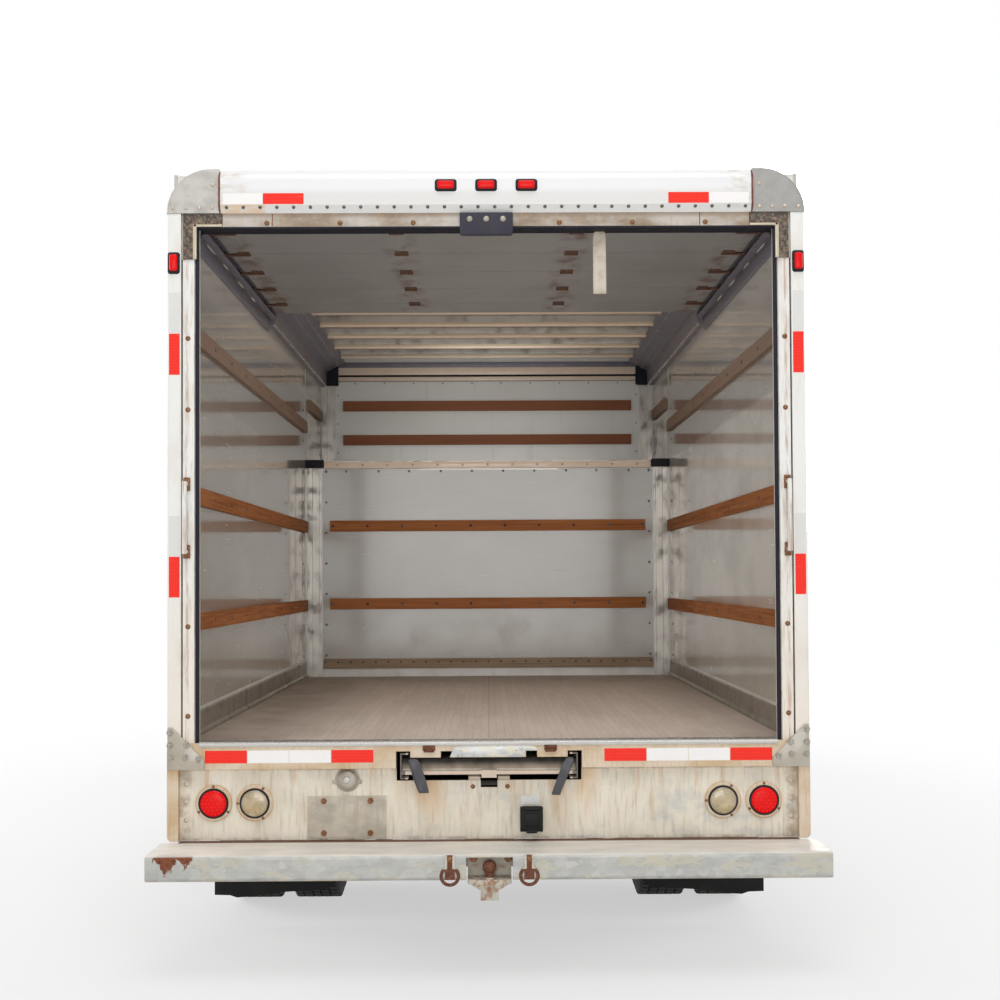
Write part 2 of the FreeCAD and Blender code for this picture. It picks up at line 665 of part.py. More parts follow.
def ribbed_post(label, wall, low, high):
    """Aluminium corner post with two hollow ribs, on the face of a cross wall."""
    return prism(label, "XY", [[("load_half - 102", wall), ("load_half - 102", f"{wall} - 4"),
                                ("load_half - 90", f"{wall} - 4"), ("load_half - 90", f"{wall} - 16"),
                                ("load_half - 70", f"{wall} - 16"), ("load_half - 70", f"{wall} - 4"),
                                ("load_half - 46", f"{wall} - 4"), ("load_half - 46", f"{wall} - 16"),
                                ("load_half - 26", f"{wall} - 16"), ("load_half - 26", f"{wall} - 4"),
                                ("load_half - 12", f"{wall} - 4"), ("load_half - 12", wall)]], low, high)


def body_rails():
    """Outer top and bottom rails and corner posts, with the posts, kick rails and trims inside."""
    skin = "load_half + wall_thick"
    top = block("top_rail", (skin, f"{skin} + rail_proud"), ("rear_face + post_deep", "nose_front - 100"),
                ("roof_under - 70", "roof_under + roof_thick + 4"))
    foot = block("bottom_rail", (skin, f"{skin} + rail_proud"), ("rear_face + post_deep", "wall_front"),
                 ("sill_low - 10", "deck_top + 40"))
    corner = prism("corner_post", "XY", [[(skin, "wall_front - 90"), (f"{skin} + rail_proud", "wall_front - 90"),
                                          (f"{skin} + rail_proud", "wall_front + rail_proud", "12"),
                                          (f"{skin} - 110", "wall_front + rail_proud"),
                                          (f"{skin} - 110", "wall_front"), (skin, "wall_front")]],
                   "sill_low - 10", "attic_under")
    kick = prism("kick_rail", "XZ", [[("load_half", "deck_top"), ("load_half - 16", "deck_top"),
                                      ("load_half - 16", "deck_top + 10"), ("load_half - 6", "deck_top + 22"),
                                      ("load_half - 6", "deck_top + 92"), ("load_half", "deck_top + 98")]],
                 "rear_face + post_deep", "wall_inside - 20")
    side = [fused("body_rail_right", [top, foot, corner]), kick,
            ribbed_post("wall_post", "wall_inside", "deck_top", "attic_under"),
            ribbed_post("attic_post", "nose_inside", "attic_deck", "2870")]
    trim = block("attic_trim", (minus("load_half"), "load_half"), ("wall_inside - 6", "wall_inside"),
                 ("attic_under", "attic_deck"))
    rail = prism("attic_rail", "YZ", [[("nose_inside", "2872"), ("nose_inside - 10", "2876"),
                                       ("nose_inside - 10", "2916"), ("nose_inside - 4", "2920"),
                                       ("nose_inside - 4", "2930"), ("nose_inside - 10", "2934"),
                                       ("nose_inside - 10", "2970"), ("nose_inside", "2974")]], "0 - 1150", "1150")
    return node(group("body_rails", side + [mirrored(piece.Name + "_left", piece) for piece in side] + [trim, rail]))


def tie_slats():
    """Wooden lashing slats on the walls."""
    slats = []
    # height of the slat's middle
    for i, z in enumerate((1320, 1820, 2457)):
        slat = block(f"side_slat_{i}", ("load_half - 20", "load_half"), ("rear_face + post_deep + 60", "wall_inside - 40"),
                     (str(z - 35), str(z + 35)))
        slats += [slat, mirrored(f"side_slat_left_{i}", slat)]
    for i, z in enumerate((1329, 1827)):
        slats.append(block(f"front_slat_{i}", ("0 - 1010", "1010"), ("wall_inside - 20", "wall_inside"),
                           (str(z - 35), str(z + 35))))
    for i, z in enumerate((2461, 2699)):
        slats.append(block(f"attic_slat_{i}", ("0 - 1010", "1010"), ("nose_inside - 20", "nose_inside"),
                           (str(z - 35), str(z + 35))))
    slats.append(block("scuff_strip", ("0 - 1055", "1055"), ("wall_inside - 14", "wall_inside"), ("916", "978")))
    short = block("attic_side_slat", ("load_half - 20", "load_half"), ("wall_front + 80", "nose_inside - 80"),
                  ("2585", "2655"))
    slats += [short, mirrored("attic_side_slat_left", short)]
    return node(group("tie_slats", slats))


# ---------------------------------------------------------------- rear of the load body

def rear_frame():
    """Posts, header strip, sill, lower posts and corner gussets, welded into one frame."""
    front = "rear_face + post_deep"
    post = prism("post", "XY", [[("door_half", "rear_face + 12"), ("seal_half", "rear_face + 12"),
                                 ("seal_half", "rear_face + 3"), ("groove_low", "rear_face + 3"),
                                 ("groove_low", "rear_face + 20"), ("groove_high", "rear_face + 20"),
                                 ("groove_high", "rear_face"), ("post_half", "rear_face", "6"),
                                 ("post_half", front), ("load_half", front), ("load_half", "rear_face + 34"),
                                 ("door_half", "rear_face + 34")]], "deck_top", "cap_low")
    lower = prism("lower_post", "XZ", [[("door_half", "sill_low"), ("apron_half", "sill_low"),
                                        ("apron_half", "apron_low"), ("post_half", "apron_low", "20"),
                                        ("post_half", "deck_top"), ("door_half", "deck_top")]],
                  "rear_face", front)
    gusset = prism("gusset", "XZ", [[("1087", "sill_low + 33"), ("post_half - 8", "sill_low + 33"),
                                     ("post_half - 8", "deck_top + 58")]], "rear_face - 6", "rear_face")
    handle = fused("grab_handle", [
        rod("grab_bar", "9", "z", ("1585", "1861"), x="1150", y="rear_face - 42"),
        rod("grab_low", "7", "y", ("rear_face - 42", "rear_face + 4"), x="1150", z="1594"),
        rod("grab_top", "7", "y", ("rear_face - 42", "rear_face + 4"), x="1150", z="1852")])
    right = fused("frame_side", [post, lower, gusset, handle])
    header = block("header", ("0 - door_half", "door_half"), ("rear_face", "rear_face + 40"), ("head_low", "cap_low"))
    # each step of the slot's upper edge, right half: how far out, and the height from there outwards
    steps = (("141", "slot_lip", "slot_top"), ("184", "slot_top", "slot_lip"), ("300", "slot_lip", "slot_top"))
    right_steps = [(x, z) for x, inner, outer in steps for z in (inner, outer)]
    left_steps = [(minus(x), z) for x, z in reversed(right_steps)]
    sill = prism("rear_sill_beam", "XZ", [[("0 - door_half", "sill_low"), ("0 - slot_half", "sill_low"),
                                           ("0 - slot_half", "slot_top"), *left_steps, *right_steps,
                                           ("slot_half", "slot_top"), ("slot_half", "sill_low"),
                                           ("door_half", "sill_low"), ("door_half", "deck_top"),
                                           ("0 - door_half", "deck_top")]],
                 "rear_face", front)
    return node(fused("rear_frame", [right, mirrored("frame_side_left", right), header, sill]))


def rear_apron():
    """Recessed plate below the sill, cut away for the ramp's slot and the notch for its catch."""
    plate = prism("rear_apron", "XZ", [[("0 - apron_half", "apron_low"), ("apron_half", "apron_low"),
                                         ("apron_half", "sill_low"), ("slot_half", "sill_low"),
                                         ("slot_half", "slot_low"), ("notch_half", "slot_low"),
                                         ("notch_half", "notch_low"), ("0 - notch_half", "notch_low"),
                                         ("0 - notch_half", "slot_low"), ("0 - slot_half", "slot_low"),
                                         ("0 - slot_half", "sill_low"), ("0 - apron_half", "sill_low")]],
                  "rear_face + 30", "rear_face + 40")
    return node(plate)


def corner_castings():
    casting = prism("casting", "XZ", [[("casting_in", "cap_low"), ("casting_out", "cap_low"),
                                       ("casting_out", "cap_top", "170"), ("casting_in", "cap_top")]],
                    "rear_face - 4", "rear_face + post_deep")
    round_edges(casting, "casting_round", "12", lambda box: box.YMax < -2933 and box.ZMax > 2900 and box.XMax > 1030)
    return node(both("corner_castings", casting))


def header_cap():
    """Rounded cap over the header, between the corner castings."""
    cap = prism("header_cap", "YZ", [[("rear_face", "cap_low"), ("rear_face + post_deep", "cap_low"),
                                      ("rear_face + post_deep", "cap_top"), ("rear_face - 14", "cap_top", "50"),
                                      ("rear_face - 14", "cap_low + 30", "10")]],
                "0 - casting_in", "casting_in")
    return node(cap)


# each edge between the overhead door's panels, ahead of the rear face
door_edges = (84, 280, 660, 1040, 1420, 1800, 2060)


def roll_up_door():
    """Six panels stored overhead."""
    panels = []
    for i, (low, high) in enumerate(zip(door_edges, door_edges[1:])):
        panels.append(block(f"door_panel_{i}", ("0 - 1100", "1100"),
                            (f"rear_face + {low + 2}", f"rear_face + {high - 2}"), ("2886", "2908")))
    return node(group("roll_up_door", panels))


# eight-sided pin: across and up from its axis
hinge_pin = (("0 - 2.5", "0 - 6"), ("2.5", "0 - 6"), ("6", "0 - 2.5"), ("6", "2.5"),
             ("2.5", "6"), ("0 - 2.5", "6"), ("0 - 6", "2.5"), ("0 - 6", "0 - 2.5"))


def door_hinges():
    """Hinges across the panels' edges; the end ones hold the stems of the rollers that run in the tracks."""
    sets = []
    for i, edge in enumerate(door_edges[1:-1]):
        y = f"rear_face + {edge}"
        for name, low, high in (("middle", "336", "394"), ("end", "1015", "1065")):
            leaf = prism(f"{name}_leaf_{i}", "YZ", [[("0 - 38", "0"), ("0 - 38", "0 - 3"), ("0 - 9", "0 - 4"),
                                                     ("9", "0 - 4"), ("38", "0 - 3"), ("38", "0")]], low, high)
            place(leaf, y=y, z="2886")
            reach = (low, high) if name == "middle" else (low, "track_web - 18")
            pin = prism(f"{name}_pin_{i}", "YZ", [hinge_pin], *reach)
            pieces = [leaf, place(pin, y=y, z="track_middle")]
            if name == "end":
                pieces.append(rod(f"roller_{i}", "roller_radius", "x", ("track_web - 18", "track_web - 4"),
                                  y=y, z="track_middle"))
            sets.append(fused(f"{name}_hinge_{i}", pieces))
    return node(both("door_hinges", group("door_hinges_right", sets)))


def track_section(where):
    """Lipped channel, open to the middle; where places each distance from the axis of the track's bend."""
    low = "bend_radius - roller_radius"
    high = f"{low} + track_inside"
    mouth = "track_web - 28"
    corners = ((mouth, f"{low} - 3"), ("track_web + 3", f"{low} - 3"), ("track_web + 3", f"{high} + 3"),
               (mouth, f"{high} + 3"), (mouth, f"{high} - 4"), (f"{mouth} + 3", f"{high} - 4"),
               (f"{mouth} + 3", high), ("track_web", high), ("track_web", low), (f"{mouth} + 3", low),
               (f"{mouth} + 3", f"{low} + 4"), (mouth, f"{low} + 4"))
    return [(across, where(distance)) for across, distance in corners]


def door_tracks():
    """Upright channels behind the posts, bent round under the roof, and the rails that carry them."""
    bend_z = "track_middle - bend_radius"
    bend_y = "rear_face + 34 + bend_radius - roller_radius + track_inside + 3"
    level = prism("level_track", "XZ", [track_section(lambda far: f"{bend_z} + {far}")], bend_y, "rear_face + 2110")
    bend = turned("track_bend", track_section(str), angle=90)
    place(bend, "0", bend_y, bend_z)
    upright = prism("upright_track", "XY", [track_section(lambda far: f"{bend_y} - ( {far} )")],
                    "deck_top", bend_z)
    stop = block("track_stop", ("track_web - 28", "track_web + 3"), ("rear_face + 2110", "rear_face + 2116"),
                 ("2862", "2899"))
    rail = prism("upper_rail", "XZ", [[("load_half", "2950"), ("load_half - 42", "2950"), ("load_half - 42", "2956"),
                                       ("load_half - 8", "2956"), ("load_half - 8", "roof_under - bow_high"),
                                       ("load_half", "roof_under - bow_high")]],
                 "rear_face + post_deep", "nose_inside - 20")
    pieces = [level, bend, upright, stop, rail]
    for i, y in enumerate((420, 1240, 2060)):
        pieces.append(block(f"track_bracket_{i}", ("track_web - 20", "load_half"),
                            (f"rear_face + {y - 20}", f"rear_face + {y + 20}"), ("2899", "2950")))
    for i, z in enumerate((1000, 1700, 2400)):
        pieces.append(block(f"track_foot_{i}", ("track_web + 3", "load_half"), ("rear_face + 44", "rear_face + 64"),
                            (str(z - 30), str(z + 30))))
    return node(both("door_tracks", fused("door_track_right", pieces)))


def tail_lamps():
    """Stop lamp and reversing lamp on each side of the apron."""
    lamps = []
    for name, x in (("stop", 1052), ("reverse", 895)):
        flange = rod(f"{name}_flange", "70", "y", ("rear_face + 22", "rear_face + 30"), x=str(x), z="633")
        lens = rod(f"{name}_lens", "54", "y", ("rear_face + 8", "rear_face + 22"), x=str(x), z="633")
        lamps.append(fused(f"{name}_lamp", [flange, lens]))
    return node(both("tail_lamps", group("tail_lamp_pair", lamps)))


def marker_lamps():
    """Three red lamps on the cap and one on each casting's foot."""
    lamps = []
    for i, x in enumerate((-155, 0, 155)):
        lamps.append(block(f"cap_lamp_{i}", (str(x - 39), str(x + 39)), ("rear_face - 32", "rear_face - 14"),
                           ("2980", "3012")))
    side = block("side_lamp", ("1186", "1224"), ("rear_face - 16", "rear_face"), ("2662", "2742"))
    return node(group("marker_lamps", lamps + [side, mirrored("side_lamp_left", side)]))


def plate_bracket():
    plate = block("plate_bracket_plate", ("0 - 694", "0 - 393"), ("rear_face + 24", "rear_face + 30"), ("498", "658"))
    holes = []
    for i, (x, z) in enumerate(((-632, 517), (-454, 517), (-632, 639), (-454, 639))):
        holes.append(rod(f"plate_hole_{i}", "3.5", "y", ("rear_face + 20", "rear_face + 34"), x=str(x), z=str(z)))
    return node(cut("plate_bracket", plate, holes))


def trailer_socket():
    shell = fused("socket_shell", [
        block("socket_box", ("118", "204"), ("rear_face - 8", "rear_face + 30"), ("523", "613")),
        rod("socket_barrel", "34", "y", ("rear_face - 26", "rear_face - 8"), x="161", z="565")])
    bore = rod("socket_bore", "26", "y", ("rear_face - 27", "rear_face + 10"), x="161", z="565")
    return node(cut("trailer_socket", shell, [bore]))


def rear_bumper():
    """Folded step bumper with a pocket for the hitch."""
    face = prism("rear_bumper", "YZ", [[("rear_face", "step_low"), ("rear_face", "step_top"),
                                        ("step_rear", "step_top", "14"), ("step_rear", "step_low", "14"),
                                        ("step_rear + 60", "step_low"), ("step_rear + 60", "step_low + 5"),
                                        ("step_rear + 5", "step_low + 5"), ("step_rear + 5", "step_top - 5"),
                                        ("rear_face - 5", "step_top - 5"), ("rear_face - 5", "step_low")]],
                 "0 - step_half", "step_half")
    pocket(face, "hitch_pocket", "XZ", [[("0 - 85", "step_low - 1"), ("85", "step_low - 1"),
                                         ("85", "step_top - 12"), ("0 - 85", "step_top - 12")]],
           "step_rear - 1", "step_rear + 100")
    return node(face)


def tow_hitch():
    """Ball on its carrier in the bumper's pocket, and a bracket with a safety chain ring on each side."""
    ball = doc.addObject("Part::Sphere", "tow_ball")
    bind(ball, "Radius", "ball_radius")
    place(ball, "0", "hitch_rear + 30", "ball_high")
    neck = rod("ball_neck", "15", "z", ("395", "ball_high"), y="hitch_rear + 30")
    ledge = prism("hitch_ledge", "XY", [[("0 - 80", "rear_face - 5"), ("0 - 80", "hitch_rear", "30"),
                                         ("80", "hitch_rear", "30"), ("80", "rear_face - 5")]], "378", "395")
    plate = block("hitch_plate", ("0 - 80", "80"), ("step_rear + 85", "step_rear + 95"), ("395", "step_top - 5"))
    web = prism("hitch_web", "XZ", [[("0 - 80", "378"), ("0 - 35", "350"), ("35", "350"), ("80", "378")]],
                "hitch_rear + 40", "hitch_rear + 50")
    tongue = block("hitch_tongue", ("0 - 33", "33"), ("hitch_rear + 40", "hitch_rear + 64"), ("313", "378"))
    tab = block("chain_tab", ("126", "162"), ("step_rear - 5", "step_rear"), ("396", "485"))
    ring_of = turned("chain_ring", [("0 - 3.5", "28"), ("0 - 3.5", "35"), ("0 - 1.5", "37.5"), ("1.5", "37.5"),
                                    ("3.5", "35"), ("3.5", "28"), ("1.5", "25.5"), ("0 - 1.5", "25.5")])
    place(ring_of, "144", "step_rear - 3.5", "409", ((0, 0, 1), 90))
    bracket = fused("chain_bracket", [tab, ring_of])
    carrier = fused("hitch_carrier", [ball, neck, ledge, plate, web, tongue])
    return node(group("tow_hitch", [carrier, bracket, mirrored("chain_bracket_left", bracket)]))


def mud_flaps():
    flap = block("mud_flap_right", ("690", "1165"), ("0 - 2166", "0 - 2160"), ("200", "sill_low"))
    return node(both("mud_flaps", flap))


def ramp():
    """Loading ramp stowed under the deck: side channels, cross ribs, a tread plate, and the end's bar and catch."""
    rear = "rear_face - 6"
    front = f"{rear} + ramp_long"
    side = prism("ramp_channel", "XZ", [[("ramp_half - 30", "ramp_low"), ("ramp_half", "ramp_low"),
                                         ("ramp_half", "ramp_top"), ("ramp_half - 30", "ramp_top"),
                                         ("ramp_half - 30", "ramp_top - 5"), ("ramp_half - 5", "ramp_top - 5"),
                                         ("ramp_half - 5", "ramp_low + 5"), ("ramp_half - 30", "ramp_low + 5")]],
                 rear, front)
    across = ("5 - ramp_half", "ramp_half - 5")
    plate = block("ramp_plate", across, (f"{rear} + 50", front), ("ramp_deck - 9", "ramp_deck"))
    rib = prism("ramp_rib", "YZ", [[(f"{rear} + 50", "ramp_low + 10"), (f"{rear} + 80", "ramp_low + 10"),
                                    (f"{rear} + 80", "ramp_deck - 7"), (f"{rear} + 50", "ramp_deck - 7")]], *across)
    repeat(rib, rib.Tip, "Y", "ramp_long - 80", 9)
    bar = block("ramp_bar", across, (rear, f"{rear} + 14"), ("741", "754"))
    catch = block("ramp_catch", ("0 - 29", "29"), (rear, f"{rear} + 40"), ("728", "757"))
    return node(fused("ramp", [side, mirrored("ramp_channel_left", side), plate, rib, bar, catch]))


# ---------------------------------------------------------------- cab

def cab_solid(label, inset):
    """The cab's whole shape, shrunk by inset: where its side, front and plan outlines meet."""
    base = "cab_low" if inset == "0" else "400"
    side = [(f"cab_back + {inset}", base), (f"3060 - {inset}", base), (f"nose_tip - {inset}", "640", "60"),
            (f"nose_tip - {inset}", f"1150 - {inset}", "120"), ("2900", f"1220 - {inset}", "300"),
            (f"2330 - {inset} * 0.4", f"scuttle_high - {inset}"),
            (f"1850 - {inset} * 0.6", f"screen_high - {inset}", "200"),
            ("1500", f"2130 - {inset}", "900"), (f"cab_back + {inset}", f"2134 - {inset}", "40")]
    front = []
    # half width, height, rounding
    half = (("cab_half - 24", base, ""), ("cab_half", "760", "200"), ("cab_half - 14", "belt", "300"),
            ("850", f"2010 - {inset} * 0.5", "90"), ("640", f"2134 - {inset}", "300"))
    for width, z, radius in half:
        corner = (f"{width} - {inset}", z)
        front.append(corner + (radius,) if radius else corner)
    for width, z, radius in reversed(half):
        corner = (f"{inset} - ( {width} )", z)
        front.append(corner + (radius,) if radius else corner)
    plan = [(f"{inset} - cab_half", f"cab_back + {inset}"), (f"cab_half - {inset}", f"cab_back + {inset}"),
            (f"cab_half - {inset}", "2900", "360"), (f"880 - {inset}", f"nose_tip - {inset}", "140"),
            (f"{inset} - 880", f"nose_tip - {inset}", "140"), (f"{inset} - cab_half", "2900", "360")]
    return common(label, [prism(label + "_side", "YZ", [side], "0 - 1100", "1100"),
                          prism(label + "_front", "XZ", [front], "900", "3200"),
                          prism(label + "_plan", "XY", [plan], "390", "2200")])


cab_outer = cab_solid("cab_outer", "0")
cab_inner = cab_solid("cab_inner", "cab_skin")
cab_shell = cut("cab_shell", cab_outer, [cab_inner])


def door_region(label, gap, start="600"):
    """Side view of a door; gap widens it for the hole it closes."""
    return prism(label, "YZ", [[(f"door_rear - {gap}", f"door_low - {gap}", "50"),
                                (f"door_front + {gap}", f"door_low - {gap}", "20"),
                                (f"door_front + {gap}", f"1740 + {gap}"),
                                (f"1790 + {gap}", f"1965 + {gap}", "60"),
                                (f"door_rear - {gap}", f"1965 + {gap}", "70")]], start, "1100")


def front_region(label):
    """Side view of everything ahead of the doors and below the scuttle."""
    return prism(label, "YZ", [[("door_front + panel_gap", "400"), ("3200", "400"), ("3200", "1400"),
                                ("2340", "1400"), ("2340", "belt"), ("door_front + panel_gap", "belt")]],
                 "0 - 1100", "1100")


def hood_region(label, gap):
    return prism(label, "XY", [[(f"0 - 760 - {gap}", f"2350 - {gap}", "60"), (f"760 + {gap}", f"2350 - {gap}", "60"),
                                (f"700 + {gap}", f"3085 + {gap}", "80"),
                                (f"0 - 700 - {gap}", f"3085 + {gap}", "80")]],
                 f"1085 - {gap}", "1400")


def arch_region(label, radius, span):
    return rod(label, radius, "x", span, y="front_axle", z="tyre_radius")


def side_sheet(label):
    """Sheet of glass that follows the slope of the cab's side above the belt."""
    return prism(label, "XZ", [[("cab_half - 32", "1270"), ("cab_half - 26", "1270"),
                                ("832", "2010"), ("826", "2010")]], "1000", "2330")


def window_region(label):
    return prism(label, "YZ", [[("1130", "1325", "40"), ("1885", "1325", "40"), ("1885", "1700", "30"),
                                ("1750", "1895", "50"), ("1130", "1895", "60")]], "600", "1100")


def quarter_region(label):
    return prism(label, "YZ", [[("2000", "1345", "20"), ("2235", "1345", "20"), ("2000", "1660", "20")]],
                 "600", "1100")


def screen_region(label):
    return prism(label, "XZ", [[("0 - 850", "1385", "60"), ("850", "1385", "60"), ("745", "1955", "80"),
                                ("0 - 745", "1955", "80")]], "1700", "2420")


def headlamp_region(label):
    return block(label, ("560", "770"), ("2900", "3140"), ("800", "990"))


nose_skin = common("nose_skin", [cab_shell, front_region("nose_region")])


def cab_body():
    """Roof, pillars, back, sills, floor, engine cover and firewall."""
    skin_cuts = [front_region("cab_front_off"), screen_region("screen_hole"),
                 block("back_gap", ("0 - 700", "700"), ("cab_back - 1", "cab_back + 60"), ("400", "650"))]
    for piece in (door_region("door_hole", "panel_gap"), quarter_region("quarter_hole")):
        skin_cuts += [piece, mirrored(piece.Name + "_left", piece)]
    skin = cut("cab_rear_shell", cab_shell, skin_cuts)
    parts = [block("cab_floor_plate", ("0 - 1000", "1000"), ("cab_back", "2340"), ("650", "cab_floor")),
             block("firewall", ("0 - 1000", "1000"), ("2315", "2340"), ("650", "belt")),
             block("engine_cover", ("0 - 350", "350"), ("1390", "2320"), ("650", "1115"))]
    rocker = prism("rocker", "XZ", [[("850", "cab_low + 10"), ("1010", "cab_low + 10"), ("1010", "door_low - panel_gap"),
                                     ("880", "door_low - panel_gap"), ("880", "660"), ("850", "660")]],
                   "cab_back", "door_front + 40")
    lining = cab_solid("cab_lining", "cab_skin - 2")
    inside = common("cab_inside", [fused("cab_inside_parts", parts + [rocker, mirrored("rocker_left", rocker)]),
                                   lining])
    step = door_region("door_step", "panel_gap", "cab_half - 60")
    well = arch_region("well", "arch_radius + 12", ("521", "1100"))
    cavity = block("engine_cavity", ("0 - 320", "320"), ("1420", "2345"), ("400", "1085"))
    inside_cuts = [cavity, step, mirrored("door_step_left", step), nose_skin]
    inside = cut("cab_inside_trimmed", inside, inside_cuts)
    return node(cut("cab_body", fused("cab_body_full", [skin, inside]), [well, mirrored("well_left", well)]))


def front_panels():
    """Fenders and nose panel, with the wheel arches and their liners."""
    liner = cut("liner_ring", arch_region("liner_outer", "arch_radius + 12", ("530", "cab_half - 40")),
                [arch_region("liner_inner", "arch_radius", ("500", "1100"))])
    liner_side = arch_region("liner_side", "arch_radius + 12", ("521", "530"))
    upper = block("liner_above", ("500", "1100"), ("1900", "3000"), ("600", "900"))
    liner_top = common("liner_right", [fused("liner_parts", [liner, liner_side]), upper])
    arch = arch_region("arch_right", "arch_radius", ("530", "1100"))
    lamp = headlamp_region("lamp_hole_right")
    grille = block("grille_hole", ("0 - 540", "540"), ("2900", "3140"), ("760", "1010"))
    valance_gap = block("valance_gap", ("0 - 500", "500"), ("2800", "3140"), ("400", "600"))
    tools = [hood_region("hood_hole", "panel_gap"), grille, valance_gap]
    for piece in (arch, lamp):
        tools += [piece, mirrored(piece.Name + "_left", piece)]
    panels = cut("nose_panels", nose_skin, tools)
    return node(fused("front_panels", [panels, liner_top, mirrored("liner_left", liner_top)]))


def hood():
    return node(common("hood", [cab_shell, hood_region("hood_area", "0")]))


def headlamps():
    lamp = common("headlamp_right", [cab_shell, headlamp_region("lamp_area")])
    return node(both("headlamps", lamp))


def grille():
    """Moulded surround with level bars."""
    area = block("grille_area", ("0 - 540", "540"), ("2900", "3140"), ("760", "1010"))
    solid = common("grille_solid", [cab_shell, area])
    gap = prism("grille_gaps", "XZ", [[("0 - 510", "782"), ("510", "782"), ("510", "812"), ("0 - 510", "812")]],
                "2850", "3150")
    repeat(gap, gap.Tip, "Z", "165", 4)
    return node(cut("grille", solid, [gap]))


def cab_glass():
    """Windscreen and the fixed quarter panes behind it."""
    screen = prism("screen_sheet", "YZ", [[("2330 - 24", "scuttle_high"), ("2330 - 15", "scuttle_high"),
                                           ("1850 - 15", "screen_high"), ("1850 - 24", "screen_high")]],
                   "0 - 900", "900")
    pane = common("windscreen", [screen, screen_region("screen_area")])
    quarter = common("quarter_right", [side_sheet("quarter_sheet"), quarter_region("quarter_area")])
    return node(group("cab_glass", [pane, quarter, mirrored("quarter_left", quarter)]))


def cab_door(side, flip):
    """Door skin and frame with its window open, its pane, and the mirror on its arms."""
    skin = cut(f"{side}_door_skin", common(f"{side}_door_solid", [cab_shell, door_region(f"{side}_door_area", "0")]),
               [window_region(f"{side}_window_hole")])
    pane = common(f"{side}_pane", [side_sheet(f"{side}_sheet"), window_region(f"{side}_window_area")])
    head = prism(f"{side}_mirror_head", "XZ", [[("1090", "1350", "40"), ("1300", "1350", "40"),
                                                ("1300", "1730", "40"), ("1090", "1730", "40")]], "1855", "1925")
    arms = [rod(f"{side}_mirror_arm_low", "12", "x", ("cab_half - 42", "1100"), y="1890", z="1395"),
            rod(f"{side}_mirror_arm_top", "12", "x", ("902", "1100"), y="1890", z="1700")]
    mirror = cut(f"{side}_mirror_solid", fused(f"{side}_mirror_parts", [head] + arms), [cab_inner, skin])
    pieces = (("door", skin), ("door_glass", pane), ("mirror", mirror))
    for name, piece in pieces:
        if flip:
            node(mirrored(f"{side}_{name}", piece))
        else:
            node(group(f"{side}_{name}", [piece]))


def front_bumper():
    outer = [("0 - 1010", "2930"), ("0 - 1010", "3200", "150"), ("1010", "3200", "150"), ("1010", "2930"),
             ("994", "2930"), ("994", "3184", "134"), ("0 - 994", "3184", "134"), ("0 - 994", "2930")]
    bar = prism("bumper_bar", "XY", [outer], "430", "620")
    pieces = [bar]
    for i, (low, high) in enumerate((("rail_inside", "rail_outside"),
                                     (minus("rail_outside"), minus("rail_inside")))):
        pieces.append(block(f"bumper_arm_{i}", (low, high), ("rail_front", "3190"), ("480", "580")))
    return node(fused("front_bumper", pieces))


def dashboard():
    solid = prism("dash_solid", "YZ", [[("2070", "1000", "30"), ("2070", "1190", "40"), ("2140", "1270", "40"),
                                        ("2315", "1285"), ("2315", "880"), ("2200", "880", "30")]],
                  "0 - 1000", "1000")
    column = rod("steering_column", "28", "z", ("0", "10"))
    place(column, "0 - 615", "1925", "1133", ((1, 0, 0), -124))
    bind(column, "Height", "230")
    bore = rod("column_bore", "12 + bore_play", "z", ("0", "10"))
    place(bore, "0 - 615", "1896", "1152", ((1, 0, 0), -124))
    bind(bore, "Height", "90")
    trimmed = cut("dashboard", common("dash_fit", [fused("dash_parts", [solid, column]), cab_inner]),
                  [bore, arch_region("dash_well_right", "arch_radius + 13", ("520", "1100")),
                   arch_region("dash_well_left", "arch_radius + 13", ("0 - 1100", "0 - 520")),
                   block("dash_cover", ("0 - 351", "351"), ("1900", "2330"), ("640", "1116"))])
    return node(trimmed)


def steering_wheel():
    """Rim, three spokes and a hub whose shaft turns in the column."""
    rim = turned("wheel_rim", [("170", "0 - 6"), ("179", "0 - 15"), ("191", "0 - 15"), ("200", "0 - 6"),
                               ("200", "6"), ("191", "15"), ("179", "15"), ("170", "6")], "Z")
    hub = turned("wheel_hub", [("0", "0 - 30"), ("62", "0 - 30"), ("62", "16"), ("12", "16"),
                               ("12", "64"), ("0", "64")], "Z")
    pieces = [rim, hub]
    for i, turn in enumerate((0, 90, 180)):
        spoke = prism(f"wheel_spoke_{i}", "XY", [[("40", "0 - 26"), ("176", "0 - 15"), ("176", "15"), ("40", "26")]],
                      "0 - 6", "4")
        pieces.append(place(spoke, turn=((0, 0, 1), turn)))
    wheel = fused("steering_wheel", pieces)
    place(wheel, "0 - 615", "1896", "1152", ((1, 0, 0), -124))
    return node(wheel)


def seats():
    base = block("seat_base", ("440", "800"), ("1180", "1560"), ("cab_floor", "770"))
    cushion = prism("seat_cushion", "YZ", [[("1120", "770", "30"), ("1640", "770", "40"), ("1640", "900", "50"),
                                            ("1200", "880", "60"), ("1120", "900", "30")]], "375", "855")
    back = prism("seat_back", "YZ", [[("1120", "860", "20"), ("1230", "870", "40"), ("1120", "1500", "40"),
                                      ("1030", "1500", "40")]], "385", "845")
    rest = prism("head_rest", "YZ", [[("1040", "1490", "20"), ("1110", "1490", "20"), ("1085", "1690", "30"),
                                      ("1020", "1690", "30")]], "520", "710")
    return node(both("seats", fused("seat_right", [base, cushion, back, rest])))


# ---------------------------------------------------------------- build

